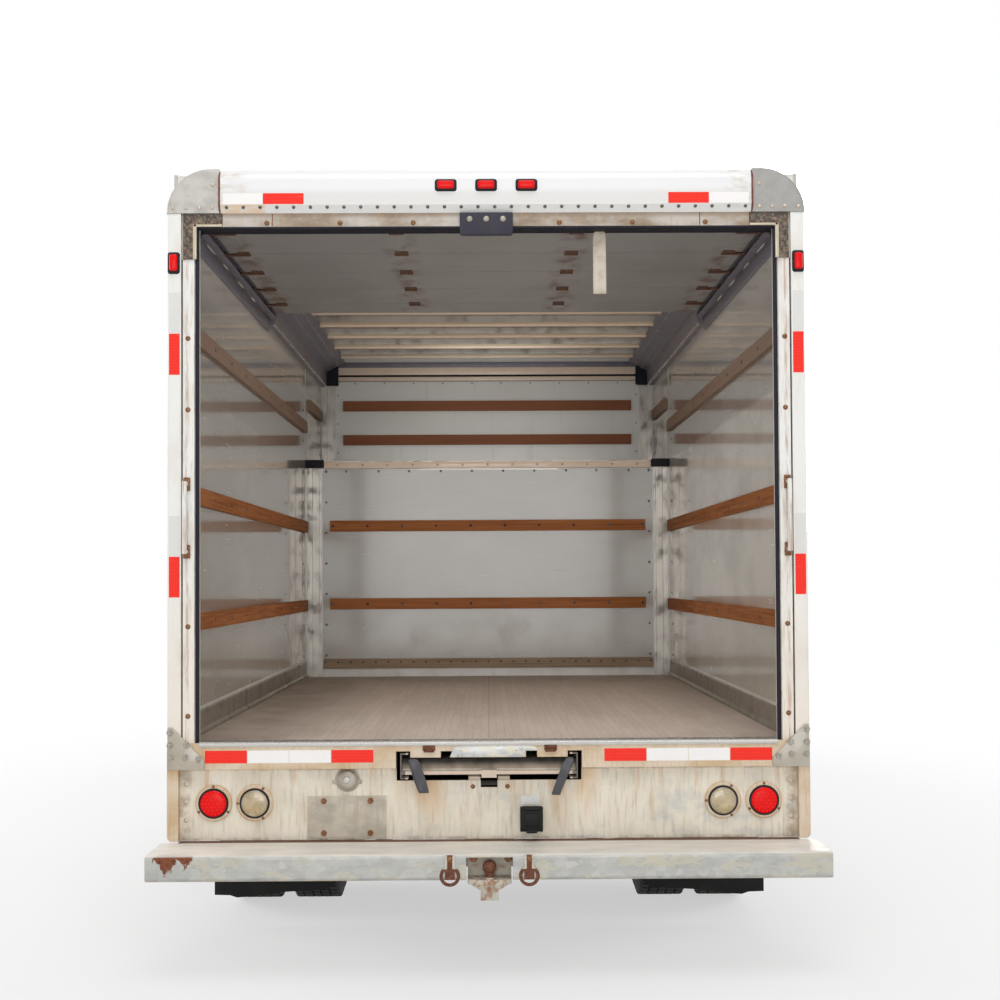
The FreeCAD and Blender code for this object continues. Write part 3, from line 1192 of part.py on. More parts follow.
chassis_frame()
engine_block()
drive_line()
fuel_tank()
exhaust_pipe()
rear_axle()
front_axle()
for side, sign in (("right", ""), ("left", "0 - ")):
    front_wheel(side, sign)
    rear_wheels(side, sign)
    knuckle(side, sign)
tie_rod()
floor_sills()
box_floor()
side_walls()
front_wall()
attic_nose()
roof()
roof_bows()
body_rails()
tie_slats()
rear_frame()
rear_apron()
corner_castings()
header_cap()
roll_up_door()
door_hinges()
door_tracks()
tail_lamps()
marker_lamps()
plate_bracket()
trailer_socket()
rear_bumper()
tow_hitch()
mud_flaps()
ramp()
cab_body()
front_panels()
hood()
headlamps()
grille()
cab_glass()
cab_door("right", False)
cab_door("left", True)
front_bumper()
dashboard()
steering_wheel()
seats()

doc.removeObject("Worked")
doc.recompute()
for thing in doc.Objects:
    if "Invalid" in thing.State or "Error" in thing.State:
        raise RuntimeError(f"{thing.Label} did not recompute: {thing.State}")
for thing in nodes:
    if thing.Shape.isNull() or not thing.Shape.isValid() or not thing.Shape.Solids:
        raise RuntimeError(f"{thing.Label} has no valid solid")

os.makedirs("parts", exist_ok=True)
for thing in nodes:
    thing.Shape.exportStep(f"parts/{thing.Label}.step")
print(len(nodes), "sub-parts,", sum(len(thing.Shape.Solids) for thing in nodes), "solids")
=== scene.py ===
import json
import math

import bmesh
import bpy
from mathutils import Matrix, Vector


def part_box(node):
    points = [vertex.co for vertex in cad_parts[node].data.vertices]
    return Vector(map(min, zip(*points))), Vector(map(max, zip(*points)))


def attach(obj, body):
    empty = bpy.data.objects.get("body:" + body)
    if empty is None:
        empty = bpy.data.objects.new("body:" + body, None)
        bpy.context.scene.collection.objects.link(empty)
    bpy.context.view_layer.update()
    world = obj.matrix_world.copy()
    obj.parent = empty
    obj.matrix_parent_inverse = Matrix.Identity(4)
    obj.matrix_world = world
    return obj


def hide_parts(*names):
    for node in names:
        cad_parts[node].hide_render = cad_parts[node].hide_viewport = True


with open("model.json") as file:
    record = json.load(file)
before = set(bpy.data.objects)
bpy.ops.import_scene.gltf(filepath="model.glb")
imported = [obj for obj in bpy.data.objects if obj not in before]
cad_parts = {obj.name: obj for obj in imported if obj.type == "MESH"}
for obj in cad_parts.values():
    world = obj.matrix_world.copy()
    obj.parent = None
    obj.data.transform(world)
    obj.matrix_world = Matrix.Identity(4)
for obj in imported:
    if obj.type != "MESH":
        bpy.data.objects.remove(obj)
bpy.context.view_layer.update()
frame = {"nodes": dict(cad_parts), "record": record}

nodes = frame["nodes"]
mm = 0.001


# sRGB hex to linear
def hexColour(code):
    parts = [int(code[i:i + 2], 16) / 255 for i in (1, 3, 5)]
    return [c / 12.92 if c <= 0.04045 else ((c + 0.055) / 1.055) ** 2.4 for c in parts] + [1.0]


# each name is a field or a socket of the node: it gets a value, a colour in hex, or a link from another node or its output
def setNode(tree, node, settings):
    for name, value in settings.items():
        if isinstance(value, bpy.types.Node):
            value = value.outputs[0]
        if isinstance(value, bpy.types.NodeSocket):
            tree.links.new(value, node.inputs[name])
        elif isinstance(name, str) and hasattr(node, name):
            setattr(node, name, value)
        else:
            node.inputs[name].default_value = hexColour(value) if isinstance(value, str) else value
    return node


def addNode(tree, kind, settings=None):
    return setNode(tree, tree.nodes.new(kind), settings or {})


# object coordinates in units of a real size in millimetres, so a noise scale of 1 is one feature per that size
def coordinates(tree, size, turn=(0, 0, 0)):
    place = addNode(tree, "ShaderNodeTexCoord")
    return addNode(tree, "ShaderNodeMapping",
                   {"Scale": [1 / (s * mm) for s in size], "Rotation": turn, "Vector": place.outputs["Object"]})


# noise with features of about that many millimetres, squeezed to a mask between low and high
def patches(tree, size, low, high, detail=4, rough=0.55, turn=(0, 0, 0), distortion=0.0):
    sizes = size if isinstance(size, tuple) else (size, size, size)
    noise = addNode(tree, "ShaderNodeTexNoise", {"Scale": 1.0, "Detail": detail, "Roughness": rough,
                                                 "Distortion": distortion, "Vector": coordinates(tree, sizes, turn)})
    return ramp(tree, noise, low, high)


# lays one colour over another where the mask is, as strongly as the amount
def layer(tree, under, over, mask, amount=None):
    share = mask if amount is None else multiply(tree, mask, amount)
    return addNode(tree, "ShaderNodeMix", {"data_type": "RGBA", 0: share, 6: under, 7: over}).outputs[2]


# one number between two, by a mask
def between(tree, mask, low, high):
    return addNode(tree, "ShaderNodeMapRange", {"To Min": low, "To Max": high, "Value": mask})


# sum, product and the like of numbers or masks, taken one after the other
def maths(tree, operation, first, *others):
    for other in others or (0.0,):
        first = addNode(tree, "ShaderNodeMath", {"operation": operation, 0: first, 1: other})
    return first


def multiply(tree, *masks):
    return maths(tree, "MULTIPLY", *masks)


def highest(tree, *masks):
    return maths(tree, "MAXIMUM", *masks)


# one object coordinate in millimetres, or its distance from the middle
def along(tree, axis, mirrored=False):
    place = addNode(tree, "ShaderNodeTexCoord")
    split = addNode(tree, "ShaderNodeSeparateXYZ", {"Vector": place.outputs["Object"]})
    value = multiply(tree, split.outputs[axis], 1 / mm)
    return maths(tree, "ABSOLUTE", value) if mirrored else value


# mask that rises from 0 to 1 as a value goes from none to full
def ramp(tree, value, none, full):
    return addNode(tree, "ShaderNodeMapRange",
                   {"From Min": none, "From Max": full, "interpolation_type": "SMOOTHSTEP", "Value": value})


# the same along an axis, in millimetres
def fade(tree, axis, none, full):
    return ramp(tree, along(tree, axis), none, full)


# mask that is 1 within a half width of a place on an axis, with soft edges; mirrored uses the distance from the middle
def band(tree, axis, place, half, soft, mirrored=True):
    off = maths(tree, "ABSOLUTE", maths(tree, "SUBTRACT", along(tree, axis, mirrored), place))
    return ramp(tree, off, half + soft, half)


# z of the surface's own direction: 1 where it faces up
def upward(tree):
    normal = addNode(tree, "ShaderNodeNewGeometry").outputs["Normal"]
    return addNode(tree, "ShaderNodeSeparateXYZ", {"Vector": normal}).outputs["Z"]


def bump(tree, height, depth, strength=1.0, under=None):
    normal = {} if under is None else {"Normal": under}
    return addNode(tree, "ShaderNodeBump", {"Height": height, "Strength": strength, "Distance": depth * mm, **normal})


# rounding of hard edges in the shading, and a mask of those edges where paint wears through
def softEdge(tree, radius=2.5):
    return addNode(tree, "ShaderNodeBevel", {"samples": 4, "Radius": radius * mm})


def edgeMask(tree, rounded):
    flat = addNode(tree, "ShaderNodeNewGeometry").outputs["True Normal"]
    same = addNode(tree, "ShaderNodeVectorMath", {"operation": "DOT_PRODUCT", 0: rounded, 1: flat})
    return ramp(tree, maths(tree, "SUBTRACT", 1.0, same.outputs["Value"]), 0.02, 0.2)


def newMaterial(name):
    material = bpy.data.materials.new(name)
    material.use_nodes = True
    return material, material.node_tree


def finishMaterial(material, settings):
    setNode(material.node_tree, material.node_tree.nodes["Principled BSDF"], settings)
    return material


# glass fibre laminate with a sprayed gel coat: grey-white, glossy enough to mirror the slats, dull where loads rubbed
def gelCoatWall(name="gelCoatLaminate", base="#A09B92", tint="#969187", dull=0.17, uneven=0.2):
    material, tree = newMaterial(name)
    # painted light and shade: the right-hand side wall is painted paler and the left-hand side wall darker
    pale = layer(tree, base, "#DDD8CE", fade(tree, "X", 1100, 1150), 0.8)
    pale = layer(tree, pale, "#8F887E", fade(tree, "X", -1100, -1150), 0.65)
    colour = layer(tree, pale, tint, patches(tree, (700, 700, 380), 0.35, 0.7), 0.8)
    streak = patches(tree, (70, 70, 1100), 0.55, 0.8, detail=6)
    colour = layer(tree, colour, "#A09A8D", streak, 0.35)
    # painted shade: darker above 2230 mm, up under the door and roof
    colour = layer(tree, colour, "#95908A", fade(tree, "Z", 2230, 2260), 0.75)
    # painted light: lighter towards the foot of the walls
    colour = layer(tree, colour, "#BDB8AE", fade(tree, "Z", 1450, 950), 0.6)
    # painted light: near-white towards the top of the walls
    colour = layer(tree, colour, "#FBF6EB", fade(tree, "Z", 2560, 2860), 0.75)
    scuff = patches(tree, (300, 300, 9), 0.64, 0.72, detail=7)
    colour = layer(tree, colour, "#D8D6D0", scuff, 0.18)
    low = multiply(tree, fade(tree, "Z", 1500, 880), patches(tree, 110, 0.4, 0.75, detail=8))
    colour = layer(tree, colour, "#8E8477", low, 0.2)
    wave = patches(tree, 420, 0.2, 0.8, detail=2)
    return finishMaterial(material, {"IOR": 1.55, "Coat Weight": 0.3, "Coat Roughness": dull * 0.4, "Base Color": colour,
                                     "Roughness": between(tree, highest(tree, scuff, low), dull, dull + 0.25),
                                     "Normal": bump(tree, wave, 0.5, uneven)})


# white gel coat outside: whiter, with a film of road dust low down and streaks under the rails
def outerGelCoat():
    material, tree = newMaterial("whiteGelCoatPanel")
    colour = layer(tree, "#EDEDEA", "#E5E4DF", patches(tree, (900, 900, 500), 0.35, 0.75))
    streak = patches(tree, (50, 50, 900), 0.56, 0.8, detail=6)
    colour = layer(tree, colour, "#B9B2A2", streak, 0.3)
    low = multiply(tree, fade(tree, "Z", 1700, 800), patches(tree, 160, 0.35, 0.8, detail=8))
    colour = layer(tree, colour, "#A79C8A", low, 0.32)
    return finishMaterial(material, {"IOR": 1.5, "Coat Weight": 0.3, "Coat Roughness": 0.1, "Base Color": colour,
                                     "Roughness": between(tree, low, 0.3, 0.55)})


# thin glass fibre roof sheet, yellowed and blotched with dirt lying on top; a painted glow on its underside stands in
# for daylight coming through it
def roofSkin():
    material, tree = newMaterial("roofSheetPaintedGlow")
    inside = layer(tree, "#D8D0C2", "#A8937C", patches(tree, (500, 90, 500), 0.35, 0.75, detail=6))
    outside = layer(tree, "#E4E2DC", "#C4BDB0", patches(tree, (600, 450, 500), 0.4, 0.8, detail=8), 0.7)
    under = ramp(tree, upward(tree), -0.5, -0.9)
    colour = layer(tree, outside, inside, under)
    # painted glow on the underside, in place of light shining through the sheet
    paintedGlow = multiply(tree, under, 0.54)
    return finishMaterial(material, {
        "IOR": 1.5, "Roughness": 0.5, "Base Color": colour, "Emission Color": colour, "Emission Strength": paintedGlow})


# mill-finish extruded aluminium: fine die lines along the piece and a dull grey bloom
def extrudedAluminium(name="extrudedAluminium", base="#B3ADA5", lines=(3, 900, 3), grime=0.45, shine=0.36):
    material, tree = newMaterial(name)
    die = patches(tree, lines, 0.3, 0.7, detail=3)
    colour = layer(tree, base, "#98928A", die, 0.5)
    bloom = patches(tree, 70, 0.45, 0.75, detail=6)
    colour = layer(tree, colour, "#85807A", bloom, grime)
    return finishMaterial(material, {"Metallic": 0.8, "Base Color": colour,
                                     "Roughness": between(tree, bloom, shine, shine + 0.22),
                                     "Normal": bump(tree, die, 0.05, 0.3, softEdge(tree, 1.5))})


# the ramp's sheet and channels: scoured along its length, channel ends dull, painted shadow on the rib behind the
# handle bar, black at the top fading to beige at its foot, the bar still in cream paint
def rampAluminium():
    material, tree = newMaterial("scouredRampAluminium")
    scour = patches(tree, (40, 300, 40), 0.3, 0.7, detail=6)
    colour = layer(tree, "#C8C0B2", "#A79E90", scour, 0.6)
    end = fade(tree, "Y", -2892, -2898)
    rib = band(tree, "Y", -2886, 3, 4, False)
    # painted shadow: the rib's rear face goes from beige at its foot to black at the top
    colour = layer(tree, colour, "#8C7E6E", multiply(tree, rib, fade(tree, "Z", 756, 759)), 0.85)
    colour = layer(tree, colour, "#0E0C0B", multiply(tree, rib, fade(tree, "Z", 757, 788)), 0.97)
    channels = multiply(tree, end, ramp(tree, along(tree, "X", True), 316, 320))
    colour = layer(tree, colour, "#5C544B", channels, 0.9)
    handle = multiply(tree, end, fade(tree, "Z", 757, 755), ramp(tree, along(tree, "X", True), 320, 316))
    colour = layer(tree, colour, "#DDC6B2", handle, 0.8)
    metal = multiply(tree, maths(tree, "SUBTRACT", 1.0, end), 0.6)
    return finishMaterial(material, {"Base Color": colour, "Metallic": metal, "Roughness": between(tree, scour, 0.35, 0.6),
                                     "Normal": softEdge(tree, 1.5)})


# black road grime caked over cream enamel, rubbed off here and there
def grimyBracket():
    material, tree = newMaterial("grimyBracketEnamel")
    rounded = softEdge(tree, 1.5)
    caked = patches(tree, 11, 0.3, 0.62, detail=7)
    colour = layer(tree, "#94826E", "#463B34", caked)
    colour = layer(tree, colour, "#2B231D", fade(tree, "Z", 2870, 2890), 0.7)
    rust = patches(tree, 24, 0.56, 0.68, detail=6)
    colour = layer(tree, colour, "#8A5A3C", rust, 0.5)
    return finishMaterial(material, {"IOR": 1.5, "Roughness": 0.7, "Base Color": colour,
                                     "Normal": bump(tree, caked, 0.4, 0.5, rounded)})


# sand-cast aluminium: grainy skin, grey pits, faint brown runs left by rain
def castAluminium(name="castAluminium", base="#C6C3BD", cloudy="#ABA8A2"):
    material, tree = newMaterial(name)
    grain = patches(tree, 2.4, 0.35, 0.7, detail=5)
    colour = layer(tree, base, cloudy, patches(tree, 60, 0.35, 0.75, detail=6))
    runs = patches(tree, (18, 18, 220), 0.52, 0.78, detail=5)
    colour = layer(tree, colour, "#9C8F7C", runs, 0.35)
    colour = layer(tree, colour, "#96928A", grain, 0.3)
    # painted shade: the right-hand castings are darker
    colour = layer(tree, colour, "#8E8D8B", fade(tree, "X", 800, 1000), 0.65)
    return finishMaterial(material, {"Metallic": 0.35, "Roughness": 0.5, "Base Color": colour,
                                     "Normal": bump(tree, grain, 0.3, 0.45, softEdge(tree, 3))})


# coach enamel sprayed on steel or moulded panels: smooth and glossy, a film of road dust low down
def coachEnamel(name, base, dust="#B9B2A4", amount=0.35, full=450, none=1300):
    material, tree = newMaterial(name)
    colour = layer(tree, base, dust, patches(tree, 500, 0.3, 0.8), 0.1)
    low = multiply(tree, fade(tree, "Z", none, full), patches(tree, 120, 0.3, 0.8, detail=8))
    colour = layer(tree, colour, dust, low, amount)
    return finishMaterial(material, {"IOR": 1.5, "Coat Weight": 0.4, "Coat Roughness": 0.06, "Base Color": colour,
                                     "Roughness": between(tree, low, 0.28, 0.6), "Normal": softEdge(tree, 2)})


# white enamel of the cap, painted shade greying its lower fold, rust creeping in at the ends and round old screws
def capEnamel():
    material, tree = newMaterial("whiteCapEnamel")
    # painted shade along the lower fold
    fold = fade(tree, "Z", 2990, 2960)
    colour = layer(tree, "#F1F1F1", "#DEDCD8", fold, 0.7)
    ends = multiply(tree, band(tree, "X", 985, 30, 60), patches(tree, (60, 60, 25), 0.42, 0.75, detail=7))
    colour = layer(tree, colour, "#CDBFA8", ends, 0.7)
    beige = multiply(tree, fade(tree, "X", -846, -852), fade(tree, "Z", 2926, 2922),
                     patches(tree, (50, 50, 20), 0.2, 0.6, detail=5))
    colour = layer(tree, colour, "#E3C7A4", beige, 0.9)
    chips = multiply(tree, band(tree, "X", 960, 60, 40), patches(tree, 9, 0.7, 0.74, detail=5))
    colour = layer(tree, colour, "#A4552D", chips)
    return finishMaterial(material, {"IOR": 1.5, "Coat Weight": 0.35, "Coat Roughness": 0.1, "Roughness": 0.34,
                                     "Base Color": colour, "Normal": softEdge(tree, 2)})


# cream enamel brushed over mild steel: chalky, yellower low down, rust weeping from the bolts and bare at worn edges
def chalkyCream():
    material, tree = newMaterial("chalkyCreamEnamel")
    rounded = softEdge(tree, 3)
    low = fade(tree, "Z", 1900, 700)
    white = layer(tree, "#F2F1ED", "#F2E7D9", low, 0.9)
    colour = layer(tree, white, "#CDBDA4", patches(tree, (70, 70, 260), 0.45, 0.8, detail=6), 0.35)
    # the inner flange and the header are more stained than the outer face of the posts
    uneven = between(tree, patches(tree, (170, 170, 90), 0.35, 0.7, detail=6), 0.5, 1.0)
    colour = layer(tree, colour, "#CFB48E", fade(tree, "Z", 868, 860), uneven)
    header = multiply(tree, fade(tree, "Z", 2838, 2843), band(tree, "X", 0, 1104, 6))
    colour = layer(tree, colour, "#8D775E", header, uneven)
    colour = layer(tree, colour, "#7D664E", multiply(tree, header, fade(tree, "Z", 2868, 2890)), 0.7)
    flange = band(tree, "X", 1140, 26, 4)
    stained = highest(tree, flange, header, multiply(tree, fade(tree, "Z", 864, 850), 0.5))
    runs = patches(tree, (15, 15, 120), 0.46, 0.76, detail=6)
    colour = layer(tree, colour, "#B89A74", multiply(tree, runs, stained), 0.45)
    weep = multiply(tree, band(tree, "X", 1150, 3, 6), patches(tree, (12, 12, 120), 0.42, 0.62, detail=5))
    colour = layer(tree, colour, "#A9764A", weep, 0.55)
    foot = multiply(tree, fade(tree, "Z", 1000, 700), patches(tree, (14, 14, 150), 0.5, 0.72, detail=6))
    colour = layer(tree, colour, "#C08E5A", foot, 0.45)
    spots = patches(tree, 20, 0.7, 0.76, detail=8, rough=0.65)
    colour = layer(tree, colour, "#8B5631", spots, 0.5)
    worn = multiply(tree, edgeMask(tree, rounded), patches(tree, 30, 0.5, 0.62, detail=7))
    colour = layer(tree, colour, "#8D6A4A", worn, 0.8)
    return finishMaterial(material, {"IOR": 1.5, "Base Color": colour, "Roughness": between(tree, runs, 0.42, 0.62),
                                     "Normal": bump(tree, spots, 0.15, 0.4, rounded)})


# zinc-coated steel apron with its last thin cream paint: soft grey clouds where the zinc shows, ochre runs from above
def washedZinc():
    material, tree = newMaterial("washedZincApron")
    colour = layer(tree, "#F0E8D8", "#DCD2BF", patches(tree, (160, 160, 240), 0.35, 0.75, detail=6))
    bare = patches(tree, (190, 190, 150), 0.5, 0.68, detail=8, rough=0.6)
    lower = multiply(tree, bare, between(tree, fade(tree, "Z", 760, 560), 0.25, 0.85))
    colour = layer(tree, colour, "#C2C2BD", lower)
    grime = patches(tree, (13, 13, 120), 0.46, 0.78, detail=8)
    colour = layer(tree, colour, "#8F8674", grime, 0.4)
    ochre = multiply(tree, patches(tree, (34, 34, 330), 0.52, 0.74, detail=5), fade(tree, "Z", 520, 640))
    colour = layer(tree, colour, "#C49358", ochre, 0.6)
    below = highest(tree, band(tree, "X", -265, 50, 70, False), band(tree, "X", 305, 60, 80, False))
    below = multiply(tree, below, fade(tree, "Z", 500, 700), patches(tree, (60, 60, 240), 0.3, 0.65, detail=6))
    colour = layer(tree, colour, "#DDAF78", below, 0.6)
    edge = highest(tree, band(tree, "X", 1165, 16, 24), fade(tree, "Z", 508, 493), fade(tree, "Z", 750, 763))
    colour = layer(tree, colour, "#8B7355", multiply(tree, edge, patches(tree, 40, 0.35, 0.7, detail=6)), 0.6)
    spots = patches(tree, (8, 8, 14), 0.7, 0.76, detail=6)
    colour = layer(tree, colour, "#7B5A3A", spots, 0.45)
    # the plate carrier stands proud of the apron and is duller
    carrier = multiply(tree, fade(tree, "Y", -2901, -2904), band(tree, "X", 543, 152, 1))
    colour = layer(tree, colour, "#A79D8F", carrier, between(
        tree, patches(tree, (80, 80, 60), 0.3, 0.7, detail=6), 0.45, 0.9))
    return finishMaterial(material, {"IOR": 1.5, "Base Color": colour, "Metallic": multiply(tree, lower, 0.25),
                                     "Roughness": between(tree, lower, 0.62, 0.45), "Normal": bump(tree, grime, 0.15, 0.4)})


# hot-dipped zinc with paint flaking off it: blue-grey spangle, cream islands with crisp edges, two rust runs at the left
# end
def flakedZinc():
    material, tree = newMaterial("flakedZincStep")
    rounded = softEdge(tree, 4)
    crystal = addNode(tree, "ShaderNodeTexVoronoi", {"Scale": 1.0, "Randomness": 1.0,
                                                     "Vector": coordinates(tree, (30, 30, 30))})
    zinc = layer(tree, "#ABABA6", "#CBCAC5", crystal.outputs["Color"], 0.6)
    zinc = layer(tree, zinc, "#94969A", patches(tree, (260, 260, 60), 0.45, 0.75), 0.5)
    paint = patches(tree, (120, 120, 42), 0.5, 0.55, detail=7, rough=0.6, distortion=0.3)
    thin = patches(tree, (420, 420, 200), 0.4, 0.7, detail=3)
    paint = multiply(tree, paint, between(tree, thin, 0.55, 1.0))
    colour = layer(tree, zinc, "#CFC9B4", paint, 0.85)
    dirt = patches(tree, (46, 46, 16), 0.52, 0.78, detail=8)
    colour = layer(tree, colour, "#8E8674", dirt, 0.35)
    chips = patches(tree, 12, 0.7, 0.74, detail=6)
    colour = layer(tree, colour, "#F0EEE6", chips, 0.7)
    # rust runs: each is widest at the top edge and narrows downwards
    wobble = multiply(tree, maths(tree, "SUBTRACT", patches(tree, (16, 16, 26), 0.2, 0.8, detail=4), 0.5), 34)
    across = maths(tree, "ADD", along(tree, "X"), wobble)
    height = along(tree, "Z")
    rust = None
    for middle, wide, low in ((-1172, 38, 404), (-1158, 12, 420), (-1098, 26, 428), (-1120, 24, 462)):
        half = multiply(tree, ramp(tree, height, low, 488), wide)
        run = ramp(tree, maths(tree, "SUBTRACT", maths(tree, "ABSOLUTE", maths(tree, "SUBTRACT", across, middle)), half), 3,
                   -3)
        run = multiply(tree, run, ramp(tree, height, low, low + 8))
        rust = run if rust is None else highest(tree, rust, run)
    rust = multiply(tree, rust, fade(tree, "Y", -3140, -3185))
    seam = multiply(tree, highest(tree, fade(tree, "Z", 400, 393), fade(tree, "Y", -2950, -2934)),
                    patches(tree, (60, 60, 30), 0.42, 0.66, detail=6))
    colour = layer(tree, colour, "#A98A66", seam, 0.7)
    colour = layer(tree, colour, layer(tree, "#844622", "#552C18", patches(tree, 10, 0.4, 0.7, detail=6)), rust)
    worn = edgeMask(tree, rounded)
    colour = layer(tree, colour, "#D5D6D4", worn, 0.7)
    # painted light on the upward faces: the tread is paler on top, partly light falling on it and partly the sheen
    # boots have scoured into it
    tread = ramp(tree, upward(tree), 0.5, 0.9)
    colour = layer(tree, colour, "#F2ECE2", tread, between(
        tree, patches(tree, (160, 60, 60), 0.3, 0.7, detail=7), 0.6, 0.9))
    metal = multiply(tree, maths(tree, "SUBTRACT", 1.0, highest(tree, tread, paint, rust)), 0.4)
    return finishMaterial(material, {"IOR": 1.5, "Base Color": colour, "Metallic": metal,
                                     "Roughness": between(tree, highest(tree, paint, rust), 0.42, 0.68),
                                     "Normal": bump(tree, paint, 0.2, 0.4, rounded)})


# sawn hardwood under worn varnish, rubbed pale at the corners; the side slats are those furthest from the middle, and their
# grain runs along the truck
def slatOak():
    material, tree = newMaterial("varnishedOakSlats")
    rounded = softEdge(tree, 2.5)
    outward = along(tree, "X", True)
    side = ramp(tree, outward, 1146, 1147)
    crossGrain = patches(tree, (380, 8, 8), 0.3, 0.72, detail=6, distortion=0.4)
    longGrain = patches(tree, (8, 380, 8), 0.3, 0.72, detail=6, distortion=0.4)
    grain = addNode(tree, "ShaderNodeMapRange", {"Value": side, "To Min": crossGrain, "To Max": longGrain})
    colour = layer(tree, "#A96836", "#814A25", grain)
    tone = patches(tree, (520, 520, 160), 0.3, 0.75)
    colour = layer(tree, colour, "#AE6C3C", tone, 0.5)
    knots = patches(tree, 16, 0.7, 0.76, detail=3)
    colour = layer(tree, colour, "#3E2415", knots, 0.6)
    worn = multiply(tree, edgeMask(tree, rounded), patches(tree, 40, 0.35, 0.6, detail=6))
    colour = layer(tree, colour, "#B88C62", worn, 0.7)
    # redder high up under the roof, grey along the walls there
    attic = fade(tree, "Z", 2380, 2420)
    colour = layer(tree, colour, "#8F5F48", attic, 0.7)
    colour = layer(tree, colour, "#8F7B6C", multiply(tree, attic, side), 0.85)
    # the strip at the foot of the front wall is bare, paler and grey
    strip = multiply(tree, fade(tree, "Z", 990, 984), ramp(tree, outward, 1100, 1090))
    colour = layer(tree, colour, layer(tree, "#A8927A", "#8B745C", grain), strip)
    return finishMaterial(material, {"IOR": 1.5, "Specular IOR Level": 0.2, "Base Color": colour,
                                     "Roughness": between(tree, grain, 0.5, 0.68),
                                     "Normal": bump(tree, grain, 0.25, 0.4, rounded)})


# laminated hardwood deck: strips glued edge to edge along the truck, scoured grey and scratched across by loads
def laminatedDeck():
    material, tree = newMaterial("laminatedHardwoodDeck")
    place = addNode(tree, "ShaderNodeTexCoord")
    turned = addNode(tree, "ShaderNodeMapping", {"Rotation": (0, 0, math.pi / 2), "Vector": place.outputs["Object"]})
    strips = addNode(tree, "ShaderNodeTexBrick", {
        "Scale": 1.0, "Brick Width": 0.62, "Row Height": 0.032, "Mortar Size": 0.0008, "Color1": "#D3C0B0",
        "Color2": "#DECEC0", "Mortar": "#B3A195", "offset": 0.37, "offset_frequency": 3, "Vector": turned})
    grain = patches(tree, (4, 200, 4), 0.3, 0.75, detail=6)
    colour = layer(tree, strips.outputs["Color"], "#AD998A", grain, 0.4)
    dust = patches(tree, (260, 380, 300), 0.3, 0.75, detail=8)
    colour = layer(tree, colour, "#E2D5C8", dust, 0.4)
    scratch = patches(tree, (210, 7, 7), 0.62, 0.7, detail=7, turn=(0, 0, 0.35))
    colour = layer(tree, colour, "#E6DBCF", scratch, 0.45)
    speckle = patches(tree, 5, 0.62, 0.72, detail=4)
    colour = layer(tree, colour, "#94847A", speckle, 0.3)
    joint = band(tree, "X", 0, 1.2, 1.0)
    colour = layer(tree, colour, "#94837A", joint, 0.5)
    # painted shade: the deck is darkened towards the far end, towards the walls and on the left side
    walls = ramp(tree, along(tree, "X", True), 650, 1120)
    left = fade(tree, "X", -500, -1000)
    far = multiply(tree, fade(tree, "Y", -500, 780), 0.7)
    edges = multiply(tree, highest(tree, far, multiply(tree, walls, 0.45), multiply(tree, left, 0.9)),
                     between(tree, patches(tree, 200, 0.35, 0.7, detail=7), 0.7, 1.0))
    colour = layer(tree, colour, "#8F7F72", edges)
    return finishMaterial(material, {"IOR": 1.5, "Base Color": colour, "Roughness": between(tree, dust, 0.45, 0.68),
                                     "Normal": bump(tree, grain, 0.2, 0.35, bump(tree, strips.outputs["Fac"], 0.4, 0.4))})


# stove-enamelled steel skin of the overhead door, browned round each row of hinges
def greyDoorEnamel():
    material, tree = newMaterial("greyStoveEnamel")
    colour = layer(tree, "#9C9A98", "#908E8C", patches(tree, 380, 0.3, 0.75, detail=6))
    near = highest(tree, band(tree, "X", 365, 34, 60), band(tree, "X", 1045, 30, 60))
    stain = multiply(tree, near, patches(tree, (110, 170, 60), 0.42, 0.72, detail=7))
    colour = layer(tree, colour, "#6B4F3E", stain, 0.75)
    damp = patches(tree, (260, 80, 60), 0.58, 0.8, detail=8)
    colour = layer(tree, colour, "#6F6558", damp, 0.35)
    return finishMaterial(material, {"IOR": 1.5, "Base Color": colour, "Roughness": between(tree, stain, 0.36, 0.6)})


# rolled steel with an old zinc plating gone dull, freckled with rust
def darkSteel(name="dullPlatedSteel", base="#878490", rustShare=0.25):
    material, tree = newMaterial(name)
    colour = layer(tree, base, "#96929A", patches(tree, 60, 0.4, 0.75, detail=6), 0.6)
    rust = multiply(tree, patches(tree, 26, 0.64, 0.74, detail=8), rustShare)
    colour = layer(tree, colour, "#5C3B26", rust)
    return finishMaterial(material, {"Base Color": colour, "Metallic": between(tree, rust, 0.35, 0.1),
                                     "Roughness": between(tree, rust, 0.42, 0.8), "Normal": softEdge(tree, 1.5)})


# mild steel left bare: orange-brown scale with darker pits
def rustedIron(name="rustedIron", base="#7A4A30", dark="#4A2A1B", pale="#A1693F"):
    material, tree = newMaterial(name)
    scale = patches(tree, 6, 0.3, 0.7, detail=8, rough=0.6)
    colour = layer(tree, base, dark, scale)
    colour = layer(tree, colour, pale, patches(tree, 22, 0.5, 0.75, detail=6), 0.6)
    return finishMaterial(material, {"Base Color": colour, "Metallic": between(tree, scale, 0.1, 0.35),
                                     "Roughness": between(tree, scale, 0.65, 0.85),
                                     "Normal": bump(tree, scale, 0.3, 0.5, softEdge(tree, 1.5))})


